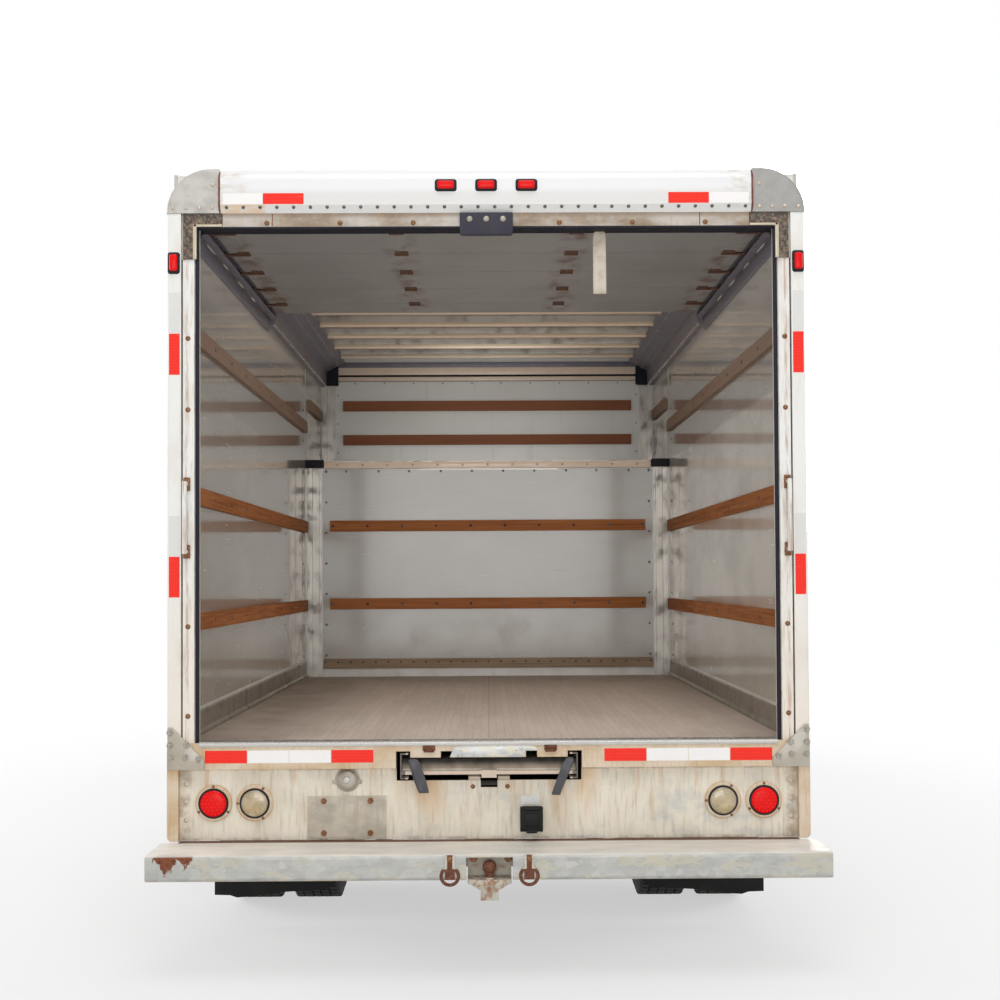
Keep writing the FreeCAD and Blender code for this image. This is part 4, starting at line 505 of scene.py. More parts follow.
# painted steel of the hitch: cream over rust, brown wherever water stands
def hitchPaint():
    material, tree = newMaterial("weepingHitchEnamel")
    colour = layer(tree, "#CFC9BA", "#B5AD9B", patches(tree, 40, 0.4, 0.75, detail=6))
    rust = multiply(tree, patches(tree, (26, 26, 40), 0.46, 0.66, detail=8),
                    between(tree, fade(tree, "Z", 470, 385), 0.25, 0.9))
    colour = layer(tree, colour, "#9B6238", rust)
    # the ball and its neck are bare iron
    ball = highest(tree, multiply(tree, band(tree, "X", 0, 27, 1),
                                  multiply(tree, fade(tree, "Z", 398, 402), fade(tree, "Y", -3140, -3144))),
                   multiply(tree, band(tree, "X", 144, 44, 1), highest(tree, fade(tree, "Z", 437, 433),
                                                                       band(tree, "X", 144, 9, 1))))
    iron = layer(tree, "#7C4E38", "#57301F", patches(tree, 8, 0.35, 0.7, detail=7))
    colour = layer(tree, colour, iron, ball)
    return finishMaterial(material, {"Base Color": colour, "Roughness": between(tree, highest(tree, rust, ball), 0.5, 0.72),
                                     "Metallic": multiply(tree, ball, 0.3), "Normal": bump(tree, rust, 0.2, 0.4,
                                                                                           softEdge(tree, 2))})


# chassis black: brushed bitumen paint under road dirt
def chassisBlack(name="chassisBlackPaint", base="#1B1B1B"):
    material, tree = newMaterial(name)
    dirt = patches(tree, 140, 0.35, 0.75, detail=8)
    colour = layer(tree, base, "#4B4338", dirt, 0.6)
    rust = patches(tree, 36, 0.64, 0.74, detail=9)
    colour = layer(tree, colour, "#5A3420", rust)
    return finishMaterial(material, {"IOR": 1.5, "Base Color": colour, "Roughness": between(tree, dirt, 0.4, 0.85),
                                     "Normal": bump(tree, rust, 0.3, 0.4, softEdge(tree, 2))})


# moulded polypropylene with a fine spark-eroded grain, greying on top
def mouldedPlastic(name="mouldedBlackPlastic", base="#121213", rough=0.55, grey="#38352F"):
    material, tree = newMaterial(name)
    grain = patches(tree, 1.6, 0.35, 0.65, detail=2)
    colour = layer(tree, base, grey, patches(tree, 80, 0.45, 0.8, detail=8), 0.3)
    return finishMaterial(material, {"IOR": 1.5, "Roughness": rough, "Specular IOR Level": 0.25, "Base Color": colour,
                                     "Normal": bump(tree, grain, 0.1, 0.4, softEdge(tree, 1.5))})


# vulcanised tyre rubber: dull black, grey dust held in the flanks and grooves
def tyreRubber():
    material, tree = newMaterial("vulcanisedTyreRubber")
    dust = patches(tree, 60, 0.35, 0.75, detail=8)
    colour = layer(tree, "#1C1C1C", "#4E4A44", dust, 0.4)
    return finishMaterial(material, {"IOR": 1.5, "Roughness": 0.78, "Base Color": colour,
                                     "Normal": bump(tree, patches(tree, 3, 0.3, 0.7), 0.15, 0.4, softEdge(tree, 1.5))})


# injection-moulded acrylic of lamp lenses, pressed with a fine prism grid
def acrylicLens(name, base, dusty, grid=5.0):
    material, tree = newMaterial(name)
    dust = patches(tree, 14, 0.45, 0.8, detail=6)
    colour = layer(tree, base, dusty, dust, 0.3)
    prism = addNode(tree, "ShaderNodeTexVoronoi", {"Scale": 1.0, "Randomness": 0.0,
                                                   "Vector": coordinates(tree, (grid, grid, grid))})
    return finishMaterial(material, {"IOR": 1.49, "Roughness": 0.28, "Specular IOR Level": 0.22, "Subsurface Weight": 0.15,
                                     "Subsurface Radius": (0.01, 0.002, 0.001), "Base Color": colour,
                                     "Normal": bump(tree, prism.outputs["Distance"], 0.4, 0.25)})


# clear polycarbonate gone slightly yellow, over a reflector
def clearLens(name="clearPolycarbonateLens", base="#F4EAD2", through=0.7):
    material, tree = newMaterial(name)
    colour = layer(tree, base, "#E0CFA2", patches(tree, 30, 0.4, 0.8, detail=6))
    prism = addNode(tree, "ShaderNodeTexVoronoi", {"Scale": 1.0, "Randomness": 0.0, "Vector": coordinates(tree, (7, 7, 7))})
    return finishMaterial(material, {"IOR": 1.58, "Roughness": 0.06, "Transmission Weight": through, "Base Color": colour,
                                     "Normal": bump(tree, prism.outputs["Distance"], 0.3, 0.2)})


# vacuum-metallised reflector bowl, brassy with age
def reflectorMetal(name="agedReflectorMetal", base="#F4E6C2", aged="#D8C28E"):
    material, tree = newMaterial(name)
    cloud = patches(tree, 24, 0.35, 0.7, detail=6)
    colour = layer(tree, base, aged, cloud)
    return finishMaterial(material, {"Metallic": 0.75, "Base Color": colour, "Roughness": between(tree, cloud, 0.25, 0.5)})


# toughened float glass with a green tint and a film of dust
def windowGlass():
    material, tree = newMaterial("tintedToughenedGlass")
    film = patches(tree, 90, 0.4, 0.8, detail=6)
    return finishMaterial(material, {"Base Color": "#B9C7C3", "IOR": 1.52, "Transmission Weight": 1.0,
                                     "Roughness": between(tree, film, 0.0, 0.04)})


# woven polyester seat cover: 2 mm threads over and under, drawn at 4 mm so that they show
def seatCloth():
    material, tree = newMaterial("wovenSeatCloth")
    weave = addNode(tree, "ShaderNodeTexChecker", {"Scale": 1.0, "Vector": coordinates(tree, (4, 4, 4))})
    colour = layer(tree, "#3A3C40", "#4A4C51", weave.outputs["Fac"])
    fuzz = patches(tree, 30, 0.4, 0.8, detail=6)
    colour = layer(tree, colour, "#5A5C60", fuzz, 0.3)
    return finishMaterial(material, {"Roughness": 0.92, "Sheen Weight": 0.3, "Base Color": colour,
                                     "Normal": bump(tree, weave.outputs["Fac"], 0.3, 0.5)})


# glass-bead reflective tape: a grid of sealed cells under a clear film, scuffed and torn in places
def reflectiveTape(name, base, faded):
    material, tree = newMaterial(name)
    place = addNode(tree, "ShaderNodeTexCoord").outputs["Object"]
    turned = addNode(tree, "ShaderNodeMapping", {"Rotation": (math.pi / 2, 0, 0), "Vector": place})
    cell = addNode(tree, "ShaderNodeTexBrick", {
        "Scale": 1.0, "Brick Width": 0.012, "Row Height": 0.012, "Mortar Size": 0.0006, "offset": 0.5, "Vector": turned})
    colour = layer(tree, base, faded, cell.outputs["Fac"], 0.35)
    scuff = patches(tree, (70, 70, 10), 0.62, 0.7, detail=7)
    colour = layer(tree, colour, faded, scuff, 0.6)
    return finishMaterial(material, {"IOR": 1.5, "Specular IOR Level": 0.25, "Roughness": 0.4, "Base Color": colour})


# polyester webbing: ribs across the strap 3 mm apart, greyed by handling
def webbing(name, base, worn):
    material, tree = newMaterial(name)
    ribSize = 3 * 6.28
    ribs = addNode(tree, "ShaderNodeTexWave", {"Scale": 1.0, "bands_direction": "Z", "wave_type": "BANDS",
                                               "Vector": coordinates(tree, (ribSize, ribSize, ribSize))})
    colour = layer(tree, base, worn, patches(tree, 30, 0.4, 0.75, detail=6), 0.6)
    colour = layer(tree, colour, worn, ribs.outputs["Fac"], 0.25)
    return finishMaterial(material, {"Roughness": 0.75, "Sheen Weight": 0.2, "Base Color": colour,
                                     "Normal": bump(tree, ribs.outputs["Fac"], 0.5, 0.6)})


# bright zinc-plated fasteners, brown in their corners
def platedBolt(name="zincPlatedBolt", base="#A9A59B", rust="#6E5138", share=0.55):
    material, tree = newMaterial(name)
    spots = patches(tree, 6, 0.4, 0.7, detail=6)
    colour = layer(tree, base, rust, spots, share)
    return finishMaterial(material, {"Metallic": 0.5, "Base Color": colour, "Roughness": between(tree, spots, 0.38, 0.7)})


def mirrorGlass():
    material, tree = newMaterial("silveredMirrorGlass")
    film = patches(tree, 60, 0.4, 0.8, detail=6)
    return finishMaterial(material, {"Base Color": "#D9DDDD", "Metallic": 1.0,
                                     "Roughness": between(tree, film, 0.02, 0.08)})


# galvanised plate scoured bright by loads, paint left in its hollows
def rubbedSteel():
    material, tree = newMaterial("scouredGalvanisedPlate")
    scour = patches(tree, (46, 46, 20), 0.42, 0.58, detail=7, rough=0.6)
    colour = layer(tree, "#D9D3C4", "#B9BCBC", scour)
    dents = patches(tree, 14, 0.6, 0.7, detail=5)
    colour = layer(tree, colour, "#6D6F70", dents, 0.6)
    return finishMaterial(material, {"Metallic": 0.5, "Base Color": colour, "Roughness": between(tree, scour, 0.55, 0.35),
                                     "Normal": bump(tree, dents, 0.4, 0.5)})


finish = {
    "gelCoat": gelCoatWall(), "outerGelCoat": outerGelCoat(), "roofSkin": roofSkin(), "aluminium": extrudedAluminium(),
    "slats": slatOak(), "deck": laminatedDeck(), "cream": chalkyCream(), "apron": washedZinc(), "casting": castAluminium(),
    "cap": capEnamel(), "door": greyDoorEnamel(), "track": darkSteel(),
    "redLens": acrylicLens("redAcrylicLens", "#EE0507", "#F0201A"),
    "amberLens": acrylicLens("amberAcrylicLens", "#F08A14", "#F4B25E"), "blackPlastic": mouldedPlastic(),
    "step": flakedZinc(), "hitch": hitchPaint(), "iron": rustedIron(), "cab": coachEnamel("whiteCabEnamel", "#EDEDEB"),
    "clearLens": clearLens(), "reflector": reflectorMetal(), "glass": windowGlass(),
    "greyBumper": coachEnamel("greyBumperEnamel", "#5A5B5D", "#8A8378"),
    "cabin": mouldedPlastic("mouldedGreyPlastic", "#3B3C3F"), "seat": seatCloth(), "tyre": tyreRubber(),
    "rim": coachEnamel("whiteRimEnamel", "#DCDBD6", "#8D8373", 0.8), "chassis": chassisBlack(),
    "engine": rustedIron("greyEngineIron", "#4B4A48", "#2C2B2A", "#5E5B57"),
    "tank": mouldedPlastic("blowMouldedTankPlastic", "#202122", 0.55),
    "exhaust": darkSteel("scaledExhaustSteel", "#6A5B4E"), "axle": chassisBlack("forgedAxleBlack", "#232120"),
    "flap": mouldedPlastic("mouldedFlapRubber", "#161616", 0.7), "ramp": rampAluminium(),
    "hinge": rustedIron("rustedHingeSteel", "#7A5944", "#5A4133", "#8E6E58"),
    "redTape": reflectiveTape("redReflectiveTape", "#FD2818", "#FB6450"),
    "whiteTape": reflectiveTape("whiteReflectiveTape", "#FBF8F6", "#FFFFFF"),
    "oldTape": reflectiveTape("greyedReflectiveTape", "#E4E3DF", "#EFEEEA"),
    "seal": mouldedPlastic("blackSealRubber", "#1E1E26", 0.65, "#3A3842"),
    "paleWebbing": webbing("paleWebbing", "#D8CFC0", "#B3A18C"),
    "darkWebbing": webbing("darkWebbing", "#45454A", "#6C6C70"), "bolt": platedBolt(),
    "rustBolt": platedBolt("rustedBolt", "#8A6240", "#5A3520", 0.9),
    "darkRivet": platedBolt("darkRivet", "#6A665E", "#4A4238", 0.6),
    "paleRivet": platedBolt("paintedRivet", "#CBBCAA", "#8A8273", 0.5),
    "gusset": coachEnamel("greyGussetEnamel", "#BDB7A9", "#A3947D", 0.8, 700, 1100),
    "darkPlate": mouldedPlastic("powderCoatedPlate", "#393842", 0.6, "#5A5960"), "mirror": mirrorGlass(),
    "rustSeam": rustedIron("rustySealant", "#8A4B3A", "#5B3026", "#A87663"), "grimyBracket": grimyBracket(),
    "paleTrim": coachEnamel("paleTrimEnamel", "#FBE6D2", "#E5CDB2", 0.4, 2900, 3100),
    "stainedBracket": coachEnamel("stainedCreamEnamel", "#D2C4AC", "#9B8363", 0.9, 700, 3400),
    "brightAluminium": extrudedAluminium("rubbedBrightAluminium", "#DAD8D4", (900, 3, 3), 0.25, 0.24),
    "rubbedSteel": rubbedSteel(), "brightRed": acrylicLens("ringedDiodeAcrylic", "#FF1410", "#FF4A3A", 2.5),
    "castingWorn": castAluminium("wornCastAluminium", "#BDB7AB", "#8F8574"),
    "whiteGlass": clearLens("milkyPolycarbonateLens", "#F4F3EE", 0.3),
    "headLens": clearLens("headlampPolycarbonate", "#F2F2EE", 0.95),
    "reflectorBright": reflectorMetal("brightReflectorMetal", "#F0F0EE", "#D6D6D2"),
    "chromePlastic": reflectorMetal("metallisedBezel", "#D9D9D8", "#BDBDBB"),
    "darkScrew": darkSteel("blackScrewSteel", "#2C2622", 0.3),
    "sideLining": gelCoatWall("sideGelCoatLaminate", "#B3AEA5", "#A8A399", 0.09, 0.07),
}
slotFinish = {
    "wall_laminate": "outerGelCoat", "roof_skin": "roofSkin", "bare_aluminium": "aluminium", "slat_wood": "slats",
    "floor_wood": "deck", "frame_paint": "cream", "apron_zinc": "apron", "cast_aluminium": "casting", "cap_white": "cap",
    "door_panel": "door", "zinc_track": "track", "lamp_red": "redLens", "black_plastic": "blackPlastic",
    "step_zinc": "step", "hitch_iron": "hitch", "hinge_steel": "hinge", "flap_rubber": "flap", "cab_white": "cab",
    "lamp_clear": "clearLens", "window_glass": "glass", "bumper_grey": "greyBumper", "cabin_plastic": "cabin",
    "seat_fabric": "seat", "ramp_aluminium": "ramp", "tyre_rubber": "tyre", "rim_paint": "rim", "chassis_black": "chassis",
    "engine_iron": "engine", "tank_plastic": "tank", "exhaust_steel": "exhaust", "axle_iron": "axle",
}
for part in frame["record"]["subparts"]:
    piece = nodes[part["node"]]
    piece.data.materials.clear()
    piece.data.materials.append(finish[slotFinish[part["material_slot"]]])
print("finishes assigned to", len(nodes), "frame pieces")


# box between two opposite corners, its edges rounded
def addBlock(mesh, corner, opposite, rounding=0, segments=2):
    low, high = (Vector(map(pick, corner, opposite)) for pick in (min, max))
    made = bmesh.ops.create_cube(mesh, size=1, matrix=Matrix.LocRotScale((low + high) / 2, None, high - low))
    return roundEdges(mesh, made["verts"], rounding, segments)


def roundEdges(mesh, corners, rounding, segments=2):
    if rounding:
        edges = list({edge for corner in corners for edge in corner.link_edges})
        bmesh.ops.bevel(mesh, geom=edges, offset=rounding, segments=segments, profile=0.5, affect="EDGES", material=-1)
    return mesh


# turns a matrix so that z points outward from a place
def facing(place, outward):
    return Matrix.Translation(place) @ Vector(outward).to_track_quat("Z", "Y").to_matrix().to_4x4()


# round bar or cone between two points
def addBar(mesh, start, end, radius, endRadius=None, steps=16):
    start, end = Vector(start), Vector(end)
    bmesh.ops.create_cone(mesh, cap_ends=True, segments=steps, radius1=radius,
                          radius2=radius if endRadius is None else endRadius, depth=(end - start).length,
                          matrix=facing((start + end) / 2, end - start))
    return mesh


# outline of (radius, height) points turned round the line that leaves a place outwards
def addTurned(mesh, outline, place=(0, 0, 0), outward=(0, 0, 1), steps=32, closed=False):
    before = set(mesh.verts)
    points = [mesh.verts.new((radius, 0, height)) for radius, height in outline]
    pairs = list(zip(points, points[1:])) + ([(points[-1], points[0])] if closed else [])
    edges = [mesh.edges.new(pair) for pair in pairs]
    bmesh.ops.spin(mesh, geom=points + edges, cent=(0, 0, 0), axis=(0, 0, 1), angle=2 * math.pi, steps=steps,
                   use_merge=True)
    bmesh.ops.remove_doubles(mesh, verts=[corner for corner in mesh.verts if corner not in before], dist=0.001)
    bmesh.ops.transform(mesh, matrix=facing(place, outward),
                        verts=[corner for corner in mesh.verts if corner not in before])
    return mesh


def pulledCorners(result):
    return [item for item in result["geom"] if isinstance(item, bmesh.types.BMVert)]


# flat outline in the plane across one axis, pulled out between two places on that axis
def addSection(mesh, outline, axis, low, high, rounding=0):
    across = {"X": lambda a, b: (low, a, b), "Y": lambda a, b: (a, low, b), "Z": lambda a, b: (a, b, low)}[axis]
    face = mesh.faces.new([mesh.verts.new(across(a, b)) for a, b in outline])
    pulled = pulledCorners(bmesh.ops.extrude_face_region(mesh, geom=[face]))
    bmesh.ops.translate(mesh, verts=pulled, vec=[(high - low) if name == axis else 0 for name in "XYZ"])
    return roundEdges(mesh, list(face.verts) + pulled, rounding)


def addCopy(mesh, other, matrix):
    data = bpy.data.meshes.new("stamp")
    other.to_mesh(data)
    data.transform(matrix)
    mesh.from_mesh(data)
    bpy.data.meshes.remove(data)


# copies of one small mesh, set on the surface at each place
def stamp(mesh, head, places, outward=(0, -1, 0)):
    for place in places:
        addCopy(mesh, head, facing(place, outward))
    return mesh


# dome of a rivet or carriage bolt, closed 1 mm under the surface
def dome(radius, height, steps=10):
    outline = [(0, height), (radius * 0.5, height * 0.86), (radius * 0.87, height * 0.5), (radius, 0), (radius, -1),
               (0, -1)]
    return addTurned(bmesh.new(), outline, steps=steps)


def hexBolt(radius, height):
    head = addTurned(bmesh.new(), [(0, 1.6), (radius * 1.45, 1.6), (radius * 1.5, -1), (0, -1)], steps=16)
    addBar(head, (0, 0, 1), (0, 0, height), radius, radius * 0.96, 6)
    return addBar(head, (0, 0, height - 1), (0, 0, height + 2.5), radius * 0.5, radius * 0.42, 10)


# offsets of evenly spaced points on a circle, from an angle in degrees on
def ring(radius, count, first=0):
    angles = [math.radians(first) + 2 * math.pi * i / count for i in range(count)]
    return [(radius * math.cos(angle), radius * math.sin(angle)) for angle in angles]


# scales a mesh from millimetres, finishes it and hangs it on its body
def finishPiece(name, mesh, finishName, body="truck", angle=35, replaces=()):
    bmesh.ops.recalc_face_normals(mesh, faces=mesh.faces)
    bmesh.ops.scale(mesh, vec=(mm, mm, mm), verts=mesh.verts)
    data = bpy.data.meshes.new(name)
    mesh.to_mesh(data)
    mesh.free()
    data.shade_smooth()
    data.set_sharp_from_angle(angle=math.radians(angle))
    data.materials.append(finish[finishName])
    piece = bpy.data.objects.new(name, data)
    bpy.context.scene.collection.objects.link(piece)
    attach(piece, body)
    if replaces:
        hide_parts(*replaces)
    return piece


def smooth(piece, levels):
    smoother = piece.modifiers.new("smoothed", "SUBSURF")
    smoother.levels = smoother.render_levels = levels


# strips of reflective tape, each between two corners
def addTape(name, tone, strips):
    mesh = bmesh.new()
    for corner, opposite in strips:
        addBlock(mesh, corner, opposite, 0.4, 1)
    finishPiece(name, mesh, tone + "Tape")


bothSides = {-1: "left", 1: "right"}

# cap over the tailgate opening: rivets on its lower fold, reflective tapes and three marker lamps
cap = {"firstRivet": -996, "rivetPitch": 64.3, "rivets": 32, "red": (700, 856), "white": (857, 1010),
       "tapeHeights": (2925, 2967), "lamps": (-155, 0, 155), "lampHeight": 2996}
capRivets = stamp(bmesh.new(), dome(7, 3.5), [(cap["firstRivet"] + cap["rivetPitch"] * i, -2939.8, 2914)
                                              for i in range(cap["rivets"])], (0, -0.906, -0.423))
finishPiece("cap_rivets", capRivets, "darkRivet")
joints = bmesh.new()
capEdge = [(-2930, 2892), (-2945.5, 2922.5), (-2945.5, 3016), (-2941, 3036), (-2930, 3052), (-2912, 3063), (-2894, 3065.8),
           (-2894, 3040), (-2925, 3016), (-2925, 2892)]
for side in bothSides:
    addSection(joints, capEdge, "X", side * 1020, side * 1027)
finishPiece("cap_joint_sealant", joints, "rustSeam")
for side, sideName in bothSides.items():
    for tone in ("red", "white"):
        near, far = cap[tone]
        low, high = cap["tapeHeights"]
        addTape(f"cap_{tone}Tape_{sideName}", tone, [((side * near, -2944.9, low), (side * far, -2943, high))])

# marker lamps: black rubber base, red ribbed lens over it
marker = {"base": (85, 48), "lens": (64, 31), "baseOut": 9, "lensOut": 18}
lampPlaces = [(x, -2944, cap["lampHeight"], True) for x in cap["lamps"]]
lampPlaces += [(side * 1200, -2930, 2702, False) for side in bothSides]
bases, lenses = bmesh.new(), bmesh.new()
for x, y, z, flat in lampPlaces:
    for mesh, (long, short), inner, outer, rounding in ((bases, marker["base"], -16, marker["baseOut"], 11),
                                                        (lenses, marker["lens"], -4, marker["lensOut"], 8)):
        wide, high = (long, short) if flat else (short, long)
        addBlock(mesh, (x - wide / 2, y - outer, z - high / 2), (x + wide / 2, y - inner, z + high / 2), rounding, 4)
finishPiece("marker_lamp_bases", bases, "seal", replaces=("marker_lamps",))
finishPiece("marker_lamp_lenses", lenses, "redLens")

# corner castings: countersunk rivets along the lower edge and one higher up
castingPlaces = [(side * x, -2934, 2914) for side in bothSides for x in (1053, 1102, 1152, 1203)]
castingPlaces += [(side * 1051, -2934, 3003) for side in bothSides]
castingRivets = stamp(bmesh.new(), dome(8, 4), castingPlaces)
finishPiece("casting_rivets", castingRivets, "paleRivet")

# header under the cap: carriage bolts, corner brackets, latch plate, rubber seal of the door
header = {"bolts": (281, 562, 843), "seams": (822, 1014), "latchBolts": (-64, 0, 64)}
headerBolts = stamp(bmesh.new(), dome(10, 5, 14), [(side * x, -2930, 2855) for side in bothSides for x in header["bolts"]])
finishPiece("header_bolts", headerBolts, "rustBolt")
seams = bmesh.new()
for side in bothSides:
    for x in header["seams"]:
        addBlock(seams, (side * x - 1.5, -2931, 2842), (side * x + 1.5, -2929, 2892))
finishPiece("header_seams", seams, "rustSeam")
brackets, bracketHoles = bmesh.new(), bmesh.new()
bracket = [(1014, 2892), (1164, 2892), (1164, 2716), (1124, 2716), (1124, 2848), (1014, 2852)]
holes = [(1030, 2873), (1056, 2880), (1080, 2868), (1104, 2880), (1140, 2868), (1150, 2838), (1138, 2812), (1150, 2786),
         (1138, 2760), (1150, 2734)]
for side in bothSides:
    addSection(brackets, [(side * x, z) for x, z in bracket], "Y", -2934, -2926, 1)
    stamp(bracketHoles, dome(7, 2.5), [(side * x, -2934, z) for x, z in holes])
lips = bmesh.new()
for side in bothSides:
    for (near, low), (far, high) in (((1014, 2841), (1124, 2850)), ((1112, 2716), (1126, 2850))):
        addBlock(lips, (side * near, -2936, low), (side * far, -2926, high), 1.5)
finishPiece("header_brackets", brackets, "grimyBracket")
finishPiece("header_bracket_lips", lips, "stainedBracket")
finishPiece("header_bracket_bolts", bracketHoles, "darkRivet")
latch, latchBolts = bmesh.new(), bmesh.new()
addSection(latch, [(-102, 2890), (102, 2890), (102, 2812), (96, 2803), (-96, 2803), (-102, 2812)], "Y", -2950, -2928, 2)
stamp(latchBolts, dome(12, 6, 16), [(x, -2950, 2864) for x in header["latchBolts"]])
finishPiece("latch_plate", latch, "darkPlate")
finishPiece("latch_plate_bolts", latchBolts, "bolt")
seal = addSection(bmesh.new(), [(-2850, 2890), (-2862, 2888), (-2868, 2862), (-2866, 2838), (-2858, 2829), (-2850, 2836),
                                (-2848, 2862)], "X", -1103, 1103, 1.5)
addBlock(seal, (-1103, -2892, 2838), (1103, -2868, 2846), 2)
finishPiece("door_bottom_seal", seal, "seal")

# pull strap of the door: one length of webbing, folded double and stitched into a small loop at its foot
strap = {"x": 440, "width": 50, "thickness": 2.2,
         "path": ((-2862, 2846), (-2860, 2780), (-2857, 2700), (-2856, 2632), (-2860, 2600), (-2867, 2586), (-2875, 2598),
                  (-2873, 2640), (-2869, 2720), (-2866, 2790), (-2864, 2846))}


# webbing that follows a line of points, each with a sideways shift
def ribbon(name, line, width, thickness, finishName, body, twist=0.0):
    mesh = bmesh.new()
    points = [mesh.verts.new((x, y, z)) for x, y, z in line]
    edges = [mesh.edges.new(pair) for pair in zip(points, points[1:])]
    pulled = pulledCorners(bmesh.ops.extrude_edge_only(mesh, edges=edges))
    bmesh.ops.translate(mesh, verts=pulled, vec=(width, twist, 0))
    bmesh.ops.translate(mesh, verts=mesh.verts, vec=(-width / 2, -twist / 2, 0))
    piece = finishPiece(name, mesh, finishName, body, angle=80)
    smooth(piece, 3)
    thick = piece.modifiers.new("webbingThickness", "SOLIDIFY")
    thick.thickness = thickness * mm
    thick.offset = 0
    return piece


ribbon("door_pull_strap", [(strap["x"], y, z) for y, z in strap["path"]], strap["width"], strap["thickness"], "paleWebbing",
       "truck")
print("cap, header and strap made")

# posts beside the opening: weeping bolts, reflective tapes, gusset plates and grab handle bolts
post = {"bolts": (2718, 2412, 2138, 1861, 1585, 1308, 967), "boltX": 1146,
        "tapes": (("red", 2272, 2430), ("old", 2432, 2588), ("red", 1420, 1575), ("old", 1577, 1731)),
        "tapeX": (1177, 1218)}
postBolts = stamp(bmesh.new(), dome(10, 5, 14), [(side * post["boltX"], -2927, z)
                                                 for side in bothSides for z in post["bolts"][1:]])
finishPiece("post_bolts", postBolts, "rustBolt")
for side, sideName in bothSides.items():
    for number, (tone, low, high) in enumerate(post["tapes"]):
        near, far = post["tapeX"]
        addTape(f"post_tape_{number}_{sideName}", tone, [((side * near, -2930.9, low), (side * far, -2929, high))])
gussets, gussetBolts = bmesh.new(), bmesh.new()
gusset = [(1082, 764), (1082, 800), (1204, 925), (1222, 925), (1222, 764)]
holes = [(1212, 906), (1212, 858), (1210, 812), (1154, 812), (1104, 804), (1150, 858)]
for side in bothSides:
    addSection(gussets, [(side * x, z) for x, z in gusset], "Y", -2938.5, -2929, 1.5)
    stamp(gussetBolts, hexBolt(9, 7), [(side * x, -2938.5, z) for x, z in holes])
finishPiece("corner_gussets", gussets, "gusset")
finishPiece("corner_gusset_bolts", gussetBolts, "bolt")
postSeals = bmesh.new()
for side in bothSides:
    for x, width, outer, inner, top in ((1112, 8, -2921, -2912, 2841), (1168, 4, -2914, -2908, 2720)):
        addBlock(postSeals, (side * x - width, outer, 864), (side * x + width, inner, top), 2)
finishPiece("post_seals", postSeals, "seal")

# sill: tapes, bright threshold, rusty latch tabs, catch bolts and tabs of the ramp slot
sill = {"tapes": (("red", 440, 600), ("white", 602, 760), ("white", 762, 919), ("red", 921, 1081)),
        "tapeHeights": (788, 836)}
for side, sideName in bothSides.items():
    for number, (tone, near, far) in enumerate(sill["tapes"]):
        low, high = sill["tapeHeights"]
        addTape(f"sill_tape_{number}_{sideName}", tone, [((side * near, -2931, low), (side * far, -2929, high))])
threshold = [(-2934, 850), (-2936, 856), (-2936, 864), (-2931, 868.5), (-2862, 868.5), (-2852, 865.5), (-2852, 860),
             (-2930, 860), (-2930, 850)]
sillThreshold = addSection(bmesh.new(), threshold, "X", -1103, 1103)
finishPiece("sill_threshold", sillThreshold, "brightAluminium", angle=30)
rubbed = [(-150, 806), (-132, 846), (-60, 852), (30, 850), (150, 852), (176, 846), (190, 830), (138, 830), (138, 806)]
sillRubbedPlate = addSection(bmesh.new(), rubbed, "Y", -2931, -2928, 0.5)
finishPiece("sill_rubbed_plate", sillRubbedPlate, "rubbedSteel")
tabs = bmesh.new()
for low, high in ((-252, -205), (211, 259)):
    addBlock(tabs, (low, -2938, 831), (high, -2928, 851), 2)
    addBlock(tabs, (low + 4, -2944, 826), (high - 4, -2938, 838), 2)
finishPiece("sill_latch_tabs", tabs, "iron")
creamTabs, slotBolts = bmesh.new(), bmesh.new()
for side in bothSides:
    addBlock(creamTabs, (side * 33, -2908, 716), (side * 79, -2898, 733), 1.5)
    addBlock(creamTabs, (side * 33, -2908, 728), (side * 79, -2884, 733), 1.5)
stamp(slotBolts, dome(9, 5, 14), [(x, -2900, 690) for x in (-62, 70)])
finishPiece("ramp_slot_tabs", creamTabs, "stainedBracket")
finishPiece("ramp_slot_bolts", slotBolts, "rustBolt")

# black housing the ramp slides into: no daylight reaches its far end
housing = bmesh.new()
for low, high in (((-356, -2888, 706), (356, -176, 711)), ((-356, -2888, 829), (356, -176, 833)),
                  ((-356, -186, 711), (356, -180, 829)), ((-356, -2888, 711), (-352, -186, 829)),
                  ((352, -2888, 711), (356, -186, 829))):
    addBlock(housing, low, high)
finishPiece("ramp_housing", housing, "blackPlastic")

# ramp pull straps: loops of dark webbing hanging from the ramp's ends
ribbon("ramp_strap_left", [(-292, -2928, 800), (-287, -2935, 788), (-278, -2941, 756), (-266, -2940, 716),
                           (-256, -2938, 690), (-250, -2940, 676), (-246, -2948, 672), (-248, -2957, 684),
                           (-256, -2958, 716), (-268, -2956, 752), (-281, -2948, 786), (-290, -2940, 802)], 36, 3,
       "darkWebbing", "ramp", 8)
ribbon("ramp_strap_right", [(310, -2928, 804), (302, -2935, 784), (288, -2941, 748), (272, -2941, 708), (260, -2940, 682),
                            (255, -2942, 668), (253, -2950, 662), (256, -2958, 674), (264, -2959, 700), (280, -2958, 740),
                            (296, -2948, 780), (308, -2940, 800)], 32, 3, "darkWebbing", "ramp", -10)
print("posts, sill and ramp straps made")

